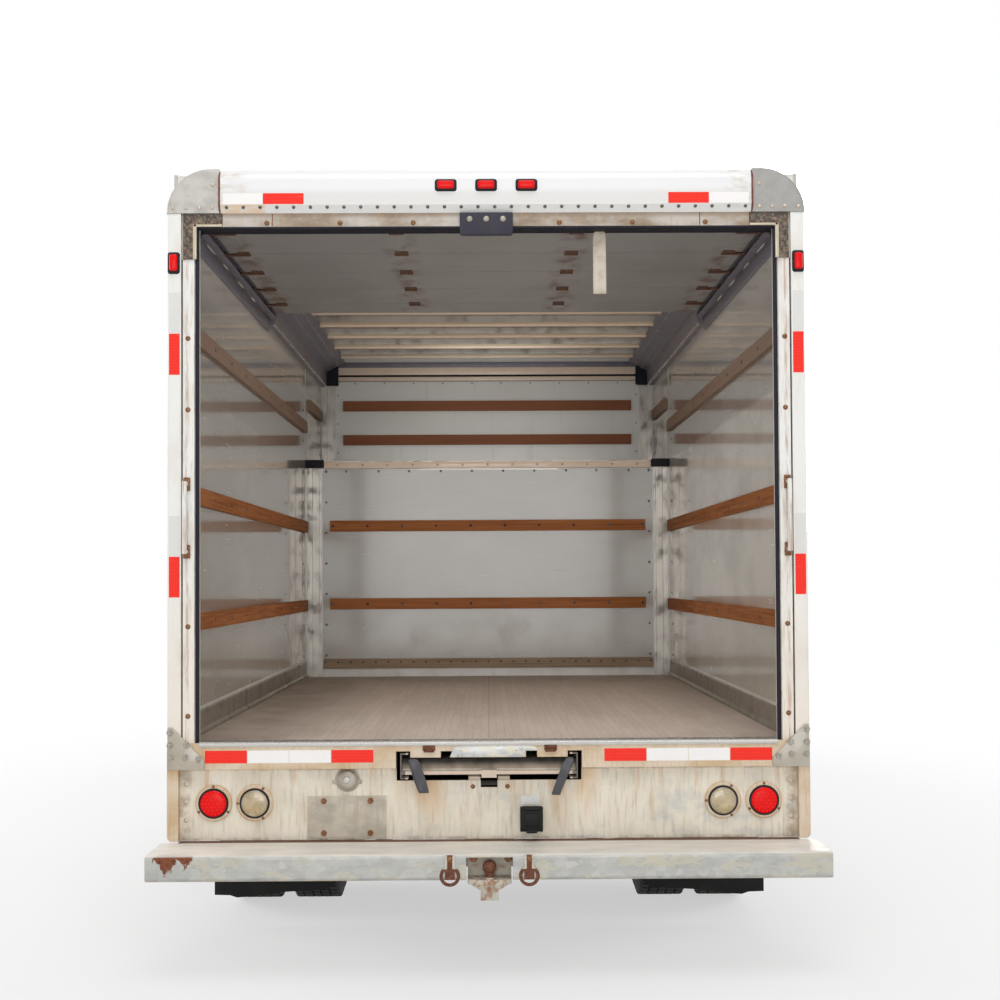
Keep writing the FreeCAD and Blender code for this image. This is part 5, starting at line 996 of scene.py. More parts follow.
# tail lamps: cream flange with screws, prismatic lens, stop lamps with rings of diodes, reverse lamps with a bowl
tail = {"z": 633, "stop": 1052, "reverse": 895, "face": -2900}
flanges, screws, stopLenses, diodes, clearLenses, bowls, gaskets = (bmesh.new() for i in range(7))
for side in bothSides:
    for x in (tail["stop"], tail["reverse"]):
        place = (side * x, tail["face"], tail["z"])
        addTurned(flanges, [(54, 2), (58, 12), (64, 12), (70, 7), (71, 0), (71, -1), (54, -1)], place, (0, -1, 0), 48,
                  closed=True)
        addTurned(gaskets, [(50, 0), (50, 15), (55, 15.5), (57, 12), (57, 0)], place, (0, -1, 0), 48, closed=True)
        first = 90 if x == tail["stop"] else 60
        stamp(screws, dome(6, 3), [(side * x + a, tail["face"] - 11, tail["z"] + b) for a, b in ring(64, 3, first)])
    place = (side * tail["stop"], tail["face"], tail["z"])
    addTurned(stopLenses, [(0, 21.5), (20, 21.5), (38, 20), (47, 17), (51, 13), (51, 0), (0, 0)], place, (0, -1, 0), 48)
    rings = ((0, 1), (14, 6), (28, 12), (41, 18))
    stamp(diodes, dome(4.6, 2), [(place[0] + a, tail["face"] - 21 + radius * radius / 900, tail["z"] + b)
                                 for radius, count in rings for a, b in ring(radius, count)])
    place = (side * tail["reverse"], tail["face"], tail["z"])
    addTurned(bowls, [(0, 3), (12, 3.5), (30, 7), (44, 13), (50, 15), (50, 0), (0, 0)], place, (0, -1, 0), 40)
    addTurned(bowls, [(0, 17), (9, 16), (12, 11), (12, 2), (0, 2)], place, (0, -1, 0), 24)
    addTurned(clearLenses, [(0, 22), (22, 21.5), (40, 19.5), (48, 16.5), (51, 14), (50.5, 12), (46, 13.5), (22, 18.5),
                            (0, 19)], place, (0, -1, 0), 48)
finishPiece("tail_lamp_flanges", flanges, "cream", replaces=("tail_lamps",))
finishPiece("tail_lamp_gaskets", gaskets, "seal")
finishPiece("tail_lamp_screws", screws, "rustBolt")
finishPiece("stop_lamp_lenses", stopLenses, "redLens")
finishPiece("stop_lamp_diodes", diodes, "brightRed")
finishPiece("reverse_lamp_bowls", bowls, "reflector")
finishPiece("reverse_lamp_lenses", clearLenses, "clearLens")

# apron: side bolts, plate lamp on its boss, blank worn sticker, lidded trailer socket
apron = {"bolts": (705, 637, 568), "boltX": 1158}
apronBolts = stamp(bmesh.new(), dome(11, 6, 14), [(side * apron["boltX"], -2900, z)
                                                  for side in bothSides for z in apron["bolts"]])
finishPiece("apron_bolts", apronBolts, "paleRivet")
edgeStrips = bmesh.new()
for side in bothSides:
    addBlock(edgeStrips, (side * 1128, -2903, 492), (side * 1182, -2899, 763), 1)
finishPiece("apron_edge_strips", edgeStrips, "apron")
plateLamp, plateLens = bmesh.new(), bmesh.new()
addTurned(plateLamp, [(47, -1), (47, 3), (41, 5), (38, 9), (36, 18), (31, 24), (20, 27), (12, 26), (12, -1)],
          (-542, -2900, 720), (0, -1, 0), 40, closed=True)
addTurned(plateLens, [(0, 36), (8, 35), (12, 31), (13, 25), (13, 0), (0, 0)], (-542, -2900, 720), (0, -1, 0), 24)
stamp(plateLamp, dome(9, 5, 12), [(-592, -2900, 711), (-494, -2900, 711)])
finishPiece("plate_lamp", plateLamp, "castingWorn")
finishPiece("plate_lamp_lens", plateLens, "whiteGlass")
plateBracketBolts = stamp(bmesh.new(), hexBolt(8, 6), [(-632, -2906, 639), (-454, -2906, 639), (-632, -2906, 517),
                                                       (-454, -2906, 517)])
finishPiece("plate_bracket_bolts", plateBracketBolts, "rustBolt")
sticker = [(121, 621), (136, 620), (140, 624), (168, 619), (193, 622), (194, 650), (186, 656), (160, 655), (150, 650),
           (128, 656), (122, 645)]
wornSticker = addSection(bmesh.new(), sticker, "Y", -2901, -2899)
finishPiece("worn_sticker", wornSticker, "oldTape")
socketLid = addBlock(bmesh.new(), (120, -2964, 530), (202, -2948, 614), 7, 3)
addBlock(socketLid, (128, -2970, 606), (194, -2946, 620), 5, 3)
addBar(socketLid, (126, -2956, 618), (196, -2956, 618), 5)
addBlock(socketLid, (141, -2967, 521), (181, -2954, 534), 3, 2)
addBlock(socketLid, (134, -2967, 546), (188, -2963, 596), 3, 2)
finishPiece("trailer_socket_lid", socketLid, "blackPlastic")

# step bumper: bolts of the hitch plate and the chain brackets
step = {"hitchBolts": (-60, 69), "hitchBoltHeight": 458}
stepBolts = stamp(bmesh.new(), hexBolt(11, 8), [(x, -3108, step["hitchBoltHeight"]) for x in step["hitchBolts"]])
stamp(stepBolts, dome(11, 2, 12), [(side * 144, -3197.9, 469) for side in bothSides])
finishPiece("hitch_bolts", stepBolts, "rustBolt")
grabFeet = bmesh.new()
for side in bothSides:
    for z in (1594, 1852):
        addBlock(grabFeet, (side * 1137, -2935, z - 26), (side * 1163, -2925, z + 26), 3)
        stamp(grabFeet, dome(6, 3), [(side * 1150, -2935, z - 18), (side * 1150, -2935, z + 18)])
finishPiece("grab_handle_feet", grabFeet, "rustBolt")
print("lamps, apron and step fittings made")

# inside of the load space: rivets of the walls, screws of the slats, rubber post caps, kick rail studs
inside = {"wallFace": 826.5, "atticFace": 1696.5, "sideFace": 1165, "trimFace": 812, "kickRailFace": 816,
          "slatFace": 810, "atticSlatFace": 1680, "sideSlatFace": 1148, "slats": (1329, 1827), "atticSlats": (2461, 2699),
          "sideSlats": (1320, 1820, 2457), "screwPitch": 220, "sideScrewPitch": 390}
wallRivets, atticRivets, trimRivets, studs, slatScrews = (bmesh.new() for i in range(5))
studHead = dome(8, 3.5, 8)
rivetRow = (-1035, -906, -699, -504, -300, -101, 101, 300, 504, 699, 906, 1035)
stamp(wallRivets, studHead, [(x, inside["wallFace"], 2178) for x in rivetRow])
stamp(wallRivets, studHead, [(side * 1035, inside["wallFace"], z) for side in bothSides for z in range(1000, 2180, 196)])
stamp(atticRivets, studHead, [(-926 + 205 * i, inside["atticFace"], 2860) for i in range(10)])
stamp(atticRivets, studHead, [(side * 1046, inside["atticFace"], z)
                              for side in bothSides for z in (2854, 2777, 2576, 2375)])
stamp(trimRivets, studHead, [(x, inside["trimFace"], 2218) for x in range(-960, 1000, 160)])
stamp(studs, studHead, [(-1040 + 80 * i, inside["kickRailFace"], 957) for i in range(27)])
for side in bothSides:
    stamp(wallRivets, studHead, [(side * inside["sideFace"], 700, z) for z in range(1000, 2950, 195)], (-side, 0, 0))
    stamp(wallRivets, studHead, [(side * inside["sideFace"], 1590, z) for z in range(2350, 2950, 150)], (-side, 0, 0))
screwHead = dome(9, 2.5, 8)
for face, heights in (("slatFace", "slats"), ("atticSlatFace", "atticSlats")):
    stamp(slatScrews, screwHead, [(-990 + inside["screwPitch"] * i, inside[face], z) for z in inside[heights]
                                  for i in range(10)])
for side in bothSides:
    for z in inside["sideSlats"]:
        places = [(side * inside["sideSlatFace"], -2740 + inside["sideScrewPitch"] * i, z) for i in range(10)]
        stamp(slatScrews, screwHead, places, (-side, 0, 0))
finishPiece("wall_rivets", wallRivets, "darkRivet")
finishPiece("attic_rivets", atticRivets, "darkRivet")
finishPiece("trim_rivets", trimRivets, "paleRivet")
finishPiece("kick_rail_studs", studs, "darkRivet")
finishPiece("slat_screws", slatScrews, "darkScrew")
postCaps = bmesh.new()
for side in bothSides:
    for low, high in (((1043, 1655, 2842), (1166, 1690, 3002)), ((1049, 786, 2200), (1166, 826, 2250))):
        addBlock(postCaps, (side * low[0], low[1], low[2]), (side * high[0], high[1], high[2]), 6, 3)
finishPiece("wall_post_caps", postCaps, "seal")
# folded rails under the edges of the roof, the plates the tracks are screwed to, pale lips of the bows that paint a
# highlight along their feet, attic strips, a dark block above them painted as shade
roofRailsAndShadeBlock, railEdges, trackPlates, bowLips, bowSides, atticStrips, atticGroove, trimStrip = (bmesh.new() for i in range(8))
railSection = [(992, 3009), (992, 3001), (1030, 2986), (1034, 2979), (1074, 2963), (1078, 2956), (1121, 2939), (1122, 2850),
               (1130, 2838), (1165, 2838), (1165, 2946), (1124, 2949), (1080, 2966), (1036, 2988), (997, 3005), (997, 3009)]
for side in bothSides:
    addSection(roofRailsAndShadeBlock, [(side * x, z) for x, z in railSection], "Y", -806, 1652)
    addBlock(railEdges, (side * 1120, -806, 2836), (side * 1134, 1652, 2840), 1, 1)
    addBlock(railEdges, (side * 1030, -806, 2978), (side * 1034, 1652, 2981), 1, 1)
    addBlock(trackPlates, (side * 1148, -2846, 2800), (side * 1164, -818, 2860), 3)
bow = {"first": -694, "pitch": 406.3, "count": 6, "reach": 991, "halfLip": 16, "halfSide": 13}
for i in range(bow["count"]):
    middle, reach = bow["first"] + bow["pitch"] * i, bow["reach"]
    # painted highlight: each bow's foot is a pale lip under its stained sides
    addBlock(bowLips, (-reach, middle - bow["halfLip"], 2984), (reach, middle + bow["halfLip"], 2997), 1.5)
    addBlock(bowSides, (-reach, middle - bow["halfSide"], 2996), (reach, middle + bow["halfSide"], 3009.8), 1)
# a dark block across the top of the attic wall is painted shade, standing where the wall above the strips lies in
# shadow
addBlock(roofRailsAndShadeBlock, (-1042, 1686, 2972), (1042, 1698, 3008), 1)
addBlock(atticStrips, (-1042, 1680.5, 2918), (1042, 1686, 2970), 1)
addBlock(atticStrips, (-1042, 1680.5, 2877), (1042, 1686, 2904), 1)
addBlock(atticGroove, (-1042, 1682.5, 2903), (1042, 1685.5, 2919))
addBlock(trimStrip, (-1048, 812, 2196), (1048, 823.5, 2238), 3)
finishPiece("roof_side_rails_and_attic_shade_block", roofRailsAndShadeBlock, "track", angle=25)
finishPiece("roof_rail_edges", railEdges, "brightAluminium")
finishPiece("track_mounting_plates", trackPlates, "track")
finishPiece("roof_bow_lips", bowLips, "paleTrim")
finishPiece("roof_bow_sides", bowSides, "stainedBracket")
finishPiece("attic_header_strips", atticStrips, "paleTrim")
finishPiece("attic_strip_groove", atticGroove, "seal")
finishPiece("wall_trim_strip", trimStrip, "paleTrim")
wallLinings = addBlock(bmesh.new(), (-1056, 826.5, 980), (1056, 829.5, 2190), 0.5, 1)
addBlock(wallLinings, (-1052, 1696.5, 2248), (1052, 1699.5, 2868), 0.5, 1)
finishPiece("front_wall_linings", wallLinings, "gelCoat")
sideLinings = bmesh.new()
for side in bothSides:
    addBlock(sideLinings, (side * 1165, -2846, 978), (side * 1167.5, 786, 3005), 0.5, 1)
    addBlock(sideLinings, (side * 1165, 832, 2250), (side * 1167.5, 1688, 3005), 0.5, 1)
finishPiece("side_wall_linings", sideLinings, "sideLining")
headerUndersideSeal = addBlock(bmesh.new(), (-1104, -2929, 2833), (1104, -2866, 2840.5), 2)
finishPiece("header_underside_seal", headerUndersideSeal, "seal")
stepRearFlange = addBlock(bmesh.new(), (-1182, -2932, 484), (1182, -2899, 490), 1.5)
finishPiece("step_rear_flange", stepRearFlange, "hinge")
print("load space fitted")

# tyre: bias shoulders, two flank rings, five rows of blocks; one shape for all six wheels
tyre = {"radius": 370, "treadBase": 360, "bead": 203, "half": 112, "blocks": 58,
        "rows": ((-100, -66, 0), (-58, -22, 1), (-15, 15, 0), (22, 58, 1), (66, 100, 0))}


def tyreShape():
    shape = bmesh.new()
    base, half = tyre["treadBase"], tyre["half"]
    side = [(base - 2, 96), (base - 8, 104), (base - 22, 108), (332, 109), (330, 112), (322, 112), (320, 110), (292, 111.5),
            (262, half), (236, 109), (232, 111), (226, 111), (222, 107), (212, 104), (tyre["bead"] + 1, 98),
            (tyre["bead"], 84)]
    mirrored = [(r, -h) for r, h in reversed(side)]
    outline = [(base, 0), (base, 60)] + side + [(tyre["bead"] + 2, 0)] + mirrored + [(base, -60)]
    addTurned(shape, outline, steps=64, closed=True)
    pitch = 2 * math.pi / tyre["blocks"]
    for low, high, odd in tyre["rows"]:
        crown = 1.5 if abs(low + high) > 100 else 0
        skew = 0.25 * (1 if low + high > 0 else -1 if low + high < 0 else 0.6)
        block = addBlock(bmesh.new(), (base - 6, -14.5, low), (tyre["radius"] - crown, 14.5, high), 1.6, 1)
        lean = Matrix.Rotation(pitch / 2 * odd, 4, "Z") @ Matrix.Rotation(skew, 4, "X")
        bmesh.ops.transform(block, matrix=lean, verts=block.verts)
        bmesh.ops.spin(block, geom=block.verts[:] + block.edges[:] + block.faces[:], cent=(0, 0, 0), axis=(0, 0, 1),
                       angle=2 * math.pi - pitch, steps=tyre["blocks"] - 1, use_duplicate=True)
        addCopy(shape, block, Matrix())
        block.free()
    # nothing of a leaning corner block stands out past the tyre's own width or radius
    for corner in shape.verts:
        reach = math.hypot(corner.co.x, corner.co.y)
        if reach > tyre["radius"]:
            corner.co.x, corner.co.y = corner.co.x * tyre["radius"] / reach, corner.co.y * tyre["radius"] / reach
        corner.co.z = max(-half, min(half, corner.co.z))
    return shape


# body: (frame piece, middles of its tyres, x of the wheel nuts' face, radius of their circle)
wheels = {
    "front_left_wheel": ("front_left_tyre", [(-850, 2423)], -890, 82),
    "front_right_wheel": ("front_right_tyre", [(850, 2423)], 890, 82),
    "rear_left_wheels": ("rear_left_tyres", [(-792, -1590), (-1068, -1590)], -946, 88),
    "rear_right_wheels": ("rear_right_tyres", [(792, -1590), (1068, -1590)], 946, 88),
}
moulded = tyreShape()
nut = hexBolt(15, 20)
for body, (node, middles, nutFace, circle) in wheels.items():
    side, y, z = 1 if nutFace > 0 else -1, middles[0][1], tyre["radius"]
    treaded = stamp(bmesh.new(), moulded, [(*middle, z) for middle in middles], (1, 0, 0))
    finishPiece(node.replace("tyre", "treaded_tyre"), treaded, "tyre", body, replaces=(node,), angle=30)
    nuts = stamp(bmesh.new(), nut, [(nutFace, y + a, z + b) for a, b in ring(circle, 8)], (side, 0, 0))
    finishPiece(body + "_nuts", nuts, "bolt", body)
    if "front" in body:
        outline = [(0, 20), (16, 19), (26, 14), (30, 4), (34, 3), (34, -6), (0, -6)]
        hubCap = addTurned(bmesh.new(), outline, (side * 938, y, z), (side, 0, 0))
        finishPiece(body + "_hub_cap", hubCap, "cabin", body)
    else:
        outline = [(0, 10), (26, 10), (32, 6), (50, 5), (62, 3), (64, -2), (0, -2)]
        flange = addTurned(bmesh.new(), outline, (side * 1041, y, z), (side, 0, 0))
        stamp(flange, hexBolt(7, 6), [(side * 1045, y + a, z + b) for a, b in ring(50, 8)], (side, 0, 0))
        finishPiece(body + "_axle_flange", flange, "chassis", body)
    valve = addBar(bmesh.new(), (nutFace - side * 6, y, z + 150), (nutFace + side * 26, y, z + 168), 4.5, 3.5, 10)
    finishPiece(body + "_valve", valve, "cabin", body)
print("wheels dressed")

# outside of the load box: rivets of the rails, side marker lamps, reflective strips, lamps over the attic
box = {"railFace": 1215, "rivetPitch": 150, "rivetRows": (784, 846, 3012, 3052)}
railRivets = bmesh.new()
railHead = dome(7, 3, 8)
for side in bothSides:
    stamp(railRivets, railHead, [(side * box["railFace"], -2800 + box["rivetPitch"] * i, z) for z in box["rivetRows"]
                                 for i in range(25 if z < 1000 else 30)], (side, 0, 0))
    stamp(railRivets, railHead, [(side * 1225, -2890, z) for z in range(1000, 2800, 200)], (side, 0, 0))
    stamp(railRivets, railHead, [(side * box["railFace"], 850, z) for z in range(1000, 2200, 150)], (side, 0, 0))
stamp(railRivets, railHead, [(x, 1750, z) for x in range(-1150, 1160, 115) for z in (2230, 3030)], (0, 1, 0))
stamp(railRivets, railHead, [(x, 870, 900) for x in range(-1150, 1160, 115)], (0, 1, 0))
finishPiece("box_rivets", railRivets, "paleRivet")
for side, sideName in bothSides.items():
    for tone, shift in (("red", 0), ("white", 280)):
        starts = [start + shift for start in (-2560, -980, 120)]
        strips = [((side * 1214, y, 792), (side * 1215.9, y + 278, 838)) for y in starts]
        addTape(f"box_{tone}Tape_{sideName}", tone, strips)
frontLamps, frontBases, redMarkers = bmesh.new(), bmesh.new(), bmesh.new()
for x in (-1080, -150, 0, 150, 1080):
    addBlock(frontBases, (x - 40, 1748, 2964), (x + 40, 1758, 3006), 5, 3)
    addBlock(frontLamps, (x - 33, 1752, 2969), (x + 33, 1770, 3001), 6, 3)
for side in bothSides:
    for y, mesh in ((1640, frontLamps), (-2780, redMarkers)):
        z = 3030 if y > 0 else 815
        addBlock(mesh, (side * 1212, y - 33, z - 16), (side * 1228, y + 33, z + 16), 6, 3)
finishPiece("attic_marker_bases", frontBases, "seal")
finishPiece("amber_marker_lamps", frontLamps, "amberLens")
finishPiece("side_marker_lamps", redMarkers, "redLens")
capOutline = [(0, 30), (30, 30), (38, 26), (40, 8), (46, 6), (46, -4), (0, -4)]
fuelCap = addTurned(bmesh.new(), capOutline, (-880, 120, 610), (-1, 0, 0), 28)
addBlock(fuelCap, (-917, 90, 604), (-906, 150, 616), 3)
finishPiece("fuel_cap", fuelCap, "blackPlastic")
mudFlapBolts = stamp(bmesh.new(), hexBolt(9, 7), [(side * x, -2166, 740)
                                                  for side in bothSides for x in (740, 860, 1000, 1120)])
finishPiece("mud_flap_bolts", mudFlapBolts, "bolt")
flapSkirts = bmesh.new()
skirt = [(664, 330), (664, 178), (682, 156), (740, 146), (900, 138), (1010, 122), (1090, 116), (1120, 126), (1186, 128),
         (1186, 330)]
for side in bothSides:
    addSection(flapSkirts, [(side * x, z) for x, z in skirt], "Y", -2172, -2166.5)
finishPiece("mud_flap_skirts", flapSkirts, "flap")
print("load box dressed")

# cab: handles, mirror glasses, lamps, wipers, blank plate, radiator behind the grille
cab = {"doorFace": 1004.5, "handle": (1170, 1310, 1128), "screenSlope": ((2276, 1385), (1874, 1955))}
for side, name in bothSides.items():
    handle, recess, lock = bmesh.new(), bmesh.new(), bmesh.new()
    low, high, z = cab["handle"]
    addBlock(recess, (side * (cab["doorFace"] - 4), low - 14, z - 32), (side * (cab["doorFace"] + 3), high + 14, z + 32), 6,
             3)
    addBlock(handle, (side * (cab["doorFace"] + 4), low, z - 6), (side * (cab["doorFace"] + 26), high, z + 20), 8, 3)
    for y in (low + 8, high - 8):
        addBar(handle, (side * (cab["doorFace"] - 2), y, z + 6), (side * (cab["doorFace"] + 16), y, z + 6), 9)
    addTurned(lock, [(0, 4), (9, 4), (12, 2), (13, -2), (0, -2)], (side * cab["doorFace"], low - 36, z), (side, 0, 0), 20)
    finishPiece(name + "_door_recess", recess, "cabin", name + "_door")
    finishPiece(name + "_door_handle", handle, "blackPlastic", name + "_door")
    finishPiece(name + "_door_lock", lock, "bolt", name + "_door")
    glass, rim = bmesh.new(), bmesh.new()
    addBlock(glass, (side * 1106, 1850.5, 1470), (side * 1284, 1854, 1714), 3)
    addBlock(glass, (side * 1106, 1850.5, 1366), (side * 1284, 1854, 1456), 3)
    addBlock(rim, (side * 1094, 1852, 1458), (side * 1296, 1858, 1468), 2)
    finishPiece(name + "_mirror_glass", glass, "mirror", name + "_door")
    finishPiece(name + "_mirror_bar", rim, "blackPlastic", name + "_door")
bowls, headLenses, turnLenses, bezels = (bmesh.new() for i in range(4))
for side in bothSides:
    addBlock(bezels, (side * 562, 3082, 802), (side * 768, 3100, 988), 8, 3)
    middle = side * 640
    addTurned(bowls, [(0, -8), (24, -6), (52, 4), (68, 16), (72, 18), (72, -12), (0, -12)], (middle, 3096, 895), (0, 1, 0),
              40)
    addTurned(bowls, [(0, 14), (9, 12), (12, 4), (12, -10), (0, -10)], (middle, 3092, 895), (0, 1, 0), 20)
    addBlock(headLenses, (side * 562, 3115, 803), (side * 716, 3120, 987), 2)
    for i in range(9):
        x = side * (575 + 16 * i)
        addBar(headLenses, (x, 3116, 812), (x, 3116, 978), 2.2, steps=8)
    addBlock(turnLenses, (side * 720, 3096, 803), (side * 768, 3120, 987), 5, 3)
finishPiece("headlamp_bezels", bezels, "chromePlastic", replaces=("headlamps",))
finishPiece("headlamp_bowls", bowls, "reflectorBright")
finishPiece("headlamp_lenses", headLenses, "headLens")
finishPiece("turn_lamp_lenses", turnLenses, "amberLens")
roofLamps = bmesh.new()
for x in (-620, -160, 0, 160, 620):
    addTurned(roofLamps, [(0, 26), (16, 24), (30, 15), (36, 3), (38, 2), (38, -4), (0, -4)], (x, 1846, 1993),
              (0, 0.72, 0.69), 24)
finishPiece("cab_roof_lamps", roofLamps, "amberLens")
slope = Vector((0, cab["screenSlope"][1][0] - cab["screenSlope"][0][0],
                cab["screenSlope"][1][1] - cab["screenSlope"][0][1]))
outward = Vector((0, slope.z, -slope.y)).normalized()


# place on the windscreen, from its foot (0) to its head (1), with a height over the glass
def onScreen(x, share, over=0.0):
    return Vector((x, cab["screenSlope"][0][0], cab["screenSlope"][0][1])) + slope * share + outward * over


wipers = bmesh.new()
for root, tip, share in ((-420, 20, 0.34), (330, 760, 0.32)):
    start, end = onScreen(root, -0.03, 18), onScreen((root + tip) / 2, share * 0.6, 22)
    addBar(wipers, start, end, 7, 5, 10)
    addBar(wipers, onScreen(root - 60, share * 0.35, 12), onScreen(tip, share, 12), 4.5, steps=8)
    addBar(wipers, onScreen(root - 60, share * 0.35, 5), onScreen(tip, share, 5), 3.2, steps=6)
    addTurned(wipers, [(0, 16), (14, 14), (17, 4), (17, -8), (0, -8)], onScreen(root, -0.035, 4), outward, 16)
finishPiece("windscreen_wipers", wipers, "blackPlastic")
plate = addBlock(bmesh.new(), (-152, 3119, 612), (152, 3122, 742), 1, 2)
stamp(plate, dome(5, 2), [(side * 120, 3122, z) for side in bothSides for z in (626, 728)], (0, 1, 0))
finishPiece("front_blank_plate", plate, "oldTape")
radiator = addBlock(bmesh.new(), (-410, 2900, 780), (410, 2935, 1030), 4)
for i in range(40):
    addBar(radiator, (-400 + 20.5 * i, 2936, 790), (-400 + 20.5 * i, 2936, 1020), 3, steps=6)
finishPiece("radiator", radiator, "track")
print("cab dressed")

# seats: bench pads, backs and head rests are foam under cloth, blown up softly over their boards
padCloth = {"cushion": ((378, 1128, 776), (852, 1632, 888)), "back": ((388, 1040, 890), (842, 1190, 1490)),
            "rest": ((524, 1028, 1510), (706, 1100, 1684))}


# foam block under cloth: remeshed, blown up by a cloth simulation with the growth capped, then smoothed
def padPiece(name, low, high, lean, voxel, cap):
    mesh = addBlock(bmesh.new(), Vector(low) + Vector((8, 8, 8)), Vector(high) - Vector((8, 8, 8)), 26, 4)
    if lean:
        pivot = Matrix.Translation((0, low[1], low[2]))
        bmesh.ops.transform(mesh, matrix=pivot @ Matrix.Rotation(lean, 4, "X") @ pivot.inverted(), verts=mesh.verts)
    piece = finishPiece(name, mesh, "seat", angle=180)
    remesh = piece.modifiers.new("evenMesh", "REMESH")
    remesh.mode = "VOXEL"
    remesh.voxel_size = voxel * mm
    bakeShape(piece)
    before = [corner.co.copy() for corner in piece.data.vertices]
    cloth = piece.modifiers.new("foamPressure", "CLOTH")
    cloth.settings.use_pressure = True
    cloth.settings.uniform_pressure_force = 4
    cloth.settings.effector_weights.gravity = 0
    for number in range(1, 21):
        bpy.context.scene.frame_set(number)
    bakeShape(piece)
    bpy.context.scene.frame_set(1)
    for corner, place in zip(piece.data.vertices, before):
        grown = corner.co - place
        if grown.length > cap * mm:
            corner.co = place + grown.normalized() * cap * mm
    smooth(piece, 1)
    return piece


def bakeShape(piece):
    shaped = bpy.data.meshes.new_from_object(piece.evaluated_get(bpy.context.evaluated_depsgraph_get()))
    piece.modifiers.clear()
    old = piece.data
    piece.data = shaped
    bpy.data.meshes.remove(old)
    shaped.shade_smooth()


seatBoards = bmesh.new()
for side, name in bothSides.items():
    for part, (low, high) in padCloth.items():
        near, far = sorted((side * low[0], side * high[0]))
        padPiece(f"{name}_seat_{part}", (near, low[1], low[2]), (far, high[1], high[2]),
                 {"cushion": 0.04, "back": 0.13, "rest": 0.08}[part], 14, 12)
    addBlock(seatBoards, (side * 440, 1180, 692), (side * 800, 1560, 776), 6)
    addBlock(seatBoards, (side * 400, 1040, 870), (side * 830, 1052, 1440), 6)
    for x in (590, 640):
        addBar(seatBoards, (side * x, 1078, 1440), (side * x, 1066, 1530), 6)
finishPiece("seat_boards", seatBoards, "cabin", replaces=("seats",))
print("seats made")

# camera behind the truck at a standing person's eye height
view = {"behind": 5.55, "height": 1.485, "pitch": 1.475, "yaw": 0.478, "roll": 0.305, "focal": 52.25, "shift": 0.0413}
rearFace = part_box("rear_frame")[0].y + 0.051
camera = bpy.data.objects.new("camera", bpy.data.cameras.new("camera"))
camera.data.lens = view["focal"]
camera.data.clip_end = 200
camera.data.shift_y = view["shift"]
camera.matrix_world = Matrix.Translation((0, rearFace - view["behind"], view["height"]))
for angle, axis in ((-view["yaw"], "Z"), (90 + view["pitch"], "X"), (-view["roll"], "Z")):
    camera.matrix_world = camera.matrix_world @ Matrix.Rotation(math.radians(angle), 4, axis)
bpy.context.scene.collection.objects.link(camera)
bpy.context.scene.camera = camera


# 1 for rays from the eye, straight or by way of gloss and glass
def seenDirectly(tree):
    ray = addNode(tree, "ShaderNodeLightPath")
    return highest(tree, *(ray.outputs[f"Is {kind} Ray"] for kind in ("Camera", "Glossy", "Transmission")))


# white surroundings for the eye, glass and gloss; a little less as light
world = bpy.data.worlds.new("softSky")
bpy.context.scene.world = world
world.use_nodes = True
sky = world.node_tree
sky.nodes.clear()
seen = seenDirectly(sky)
lit = addNode(sky, "ShaderNodeBackground", {"Color": "#FFFFFF", "Strength": 0.5})
white = addNode(sky, "ShaderNodeBackground", {"Color": "#FFFFFF", "Strength": 1.0})
addNode(sky, "ShaderNodeOutputWorld", {"Surface": addNode(sky, "ShaderNodeMixShader", {0: seen, 1: lit, 2: white})})

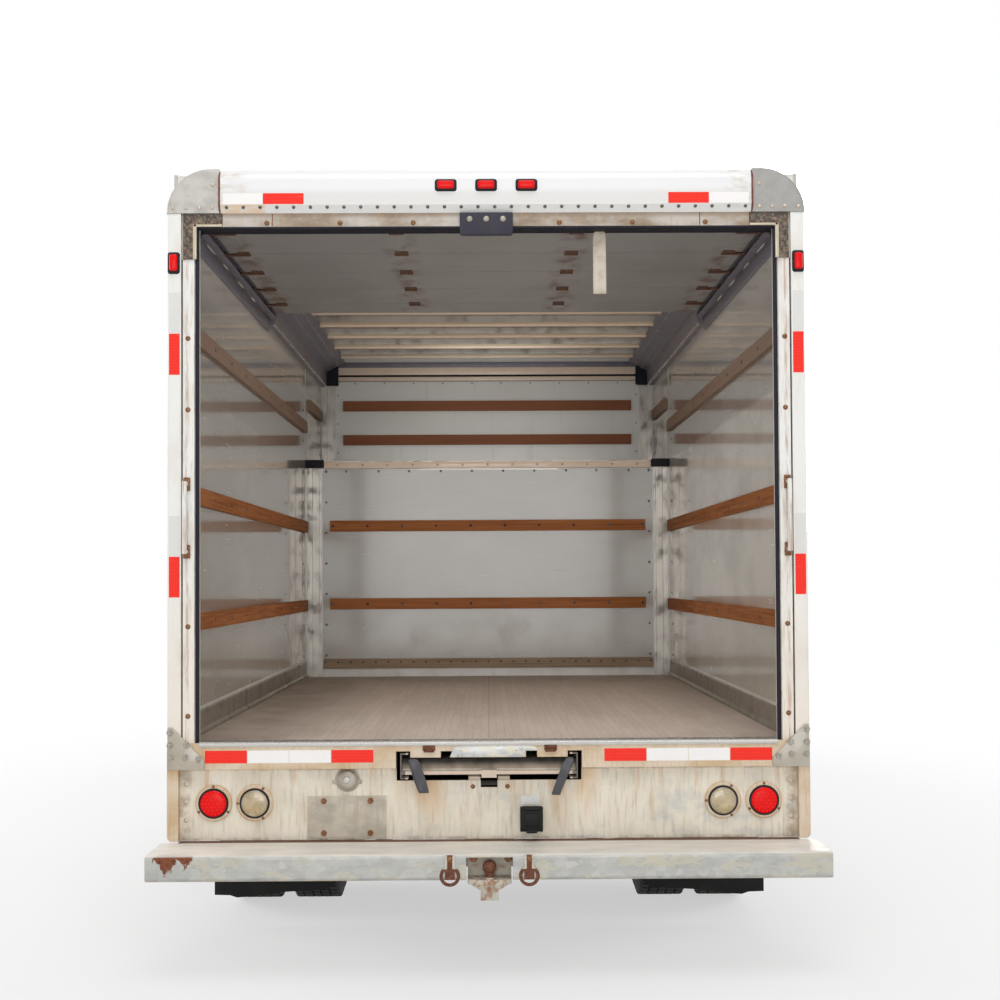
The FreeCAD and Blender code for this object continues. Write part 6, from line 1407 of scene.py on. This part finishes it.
softBoxes = {
    # name: (place, aimed at, size, watts)
    "farSoftBoxBehind": ((0.0, -24.0, 3.2), (0, 0, 1.7), 9.0, 930),
    "highSoftBoxBehind": ((0.0, -6.8, 8.0), (0, -2.6, 1.2), 4.0, 175),
    "softBoxLeft": ((-9.5, 1.0, 5.0), (0, 0, 1.5), 6.0, 420),
    "softBoxRight": ((9.5, 2.0, 5.0), (0, 0, 1.5), 6.0, 340),
    "softBoxFront": ((2.0, 12.0, 5.0), (0, 1, 1.5), 6.0, 420),
    "fillUnderRoof": ((0.0, -1.9, 2.85), (0, -1.9, 0), 1.8, 9),
    "bounceOffDeck": ((0.0, -1.0, 0.88), (0, -1.0, 3), 1.9, 8),
    "fillInAttic": ((0.0, 0.72, 2.6), (0, 1.7, 2.85), 0.9, 1.4),
}
for name, (place, aim, size, watts) in softBoxes.items():
    light = bpy.data.lights.new(name, "AREA")
    light.shape = "SQUARE"
    light.size = size
    light.energy = watts
    softBox = bpy.data.objects.new(name, light)
    softBox.matrix_world = facing(place, Vector(place) - Vector(aim))
    softBox.visible_camera = softBox.visible_glossy = watts > 100
    bpy.context.scene.collection.objects.link(softBox)

# pale floor: it keeps the soft shadow near the truck and fades to plain white further out
floor = {"size": 60, "near": 3.6, "far": 7.5}
floorMesh = bmesh.new()
bmesh.ops.create_grid(floorMesh, x_segments=1, y_segments=1, size=floor["size"] / 2)
floorData = bpy.data.meshes.new("floor")
floorMesh.to_mesh(floorData)
floorMesh.free()
floorPiece = bpy.data.objects.new("floor", floorData)
bpy.context.scene.collection.objects.link(floorPiece)
paper, tree = newMaterial("palePaperFloor")
shader = setNode(tree, tree.nodes["Principled BSDF"], {"Base Color": "#EDEDED", "Roughness": 0.9})
spot = addNode(tree, "ShaderNodeTexCoord")
oval = addNode(tree, "ShaderNodeVectorMath", {"operation": "MULTIPLY", 1: (1.35, 0.85, 1), 0: spot.outputs["Object"]})
away = addNode(tree, "ShaderNodeVectorMath", {"operation": "LENGTH", 0: oval})
looked = seenDirectly(tree)
share = multiply(tree, looked, between(tree, ramp(tree, away.outputs["Value"], floor["near"], floor["far"]), 0.55, 1.0))
glow = addNode(tree, "ShaderNodeEmission", {"Color": "#FFFFFF", "Strength": 1.0})
mixed = addNode(tree, "ShaderNodeMixShader", {0: share, 1: shader, 2: glow})
tree.links.new(mixed.outputs[0], tree.nodes["Material Output"].inputs["Surface"])
floorPiece.data.materials.append(paper)
print("camera, light and floor set")

bpy.context.scene.view_settings.view_transform = "Standard"
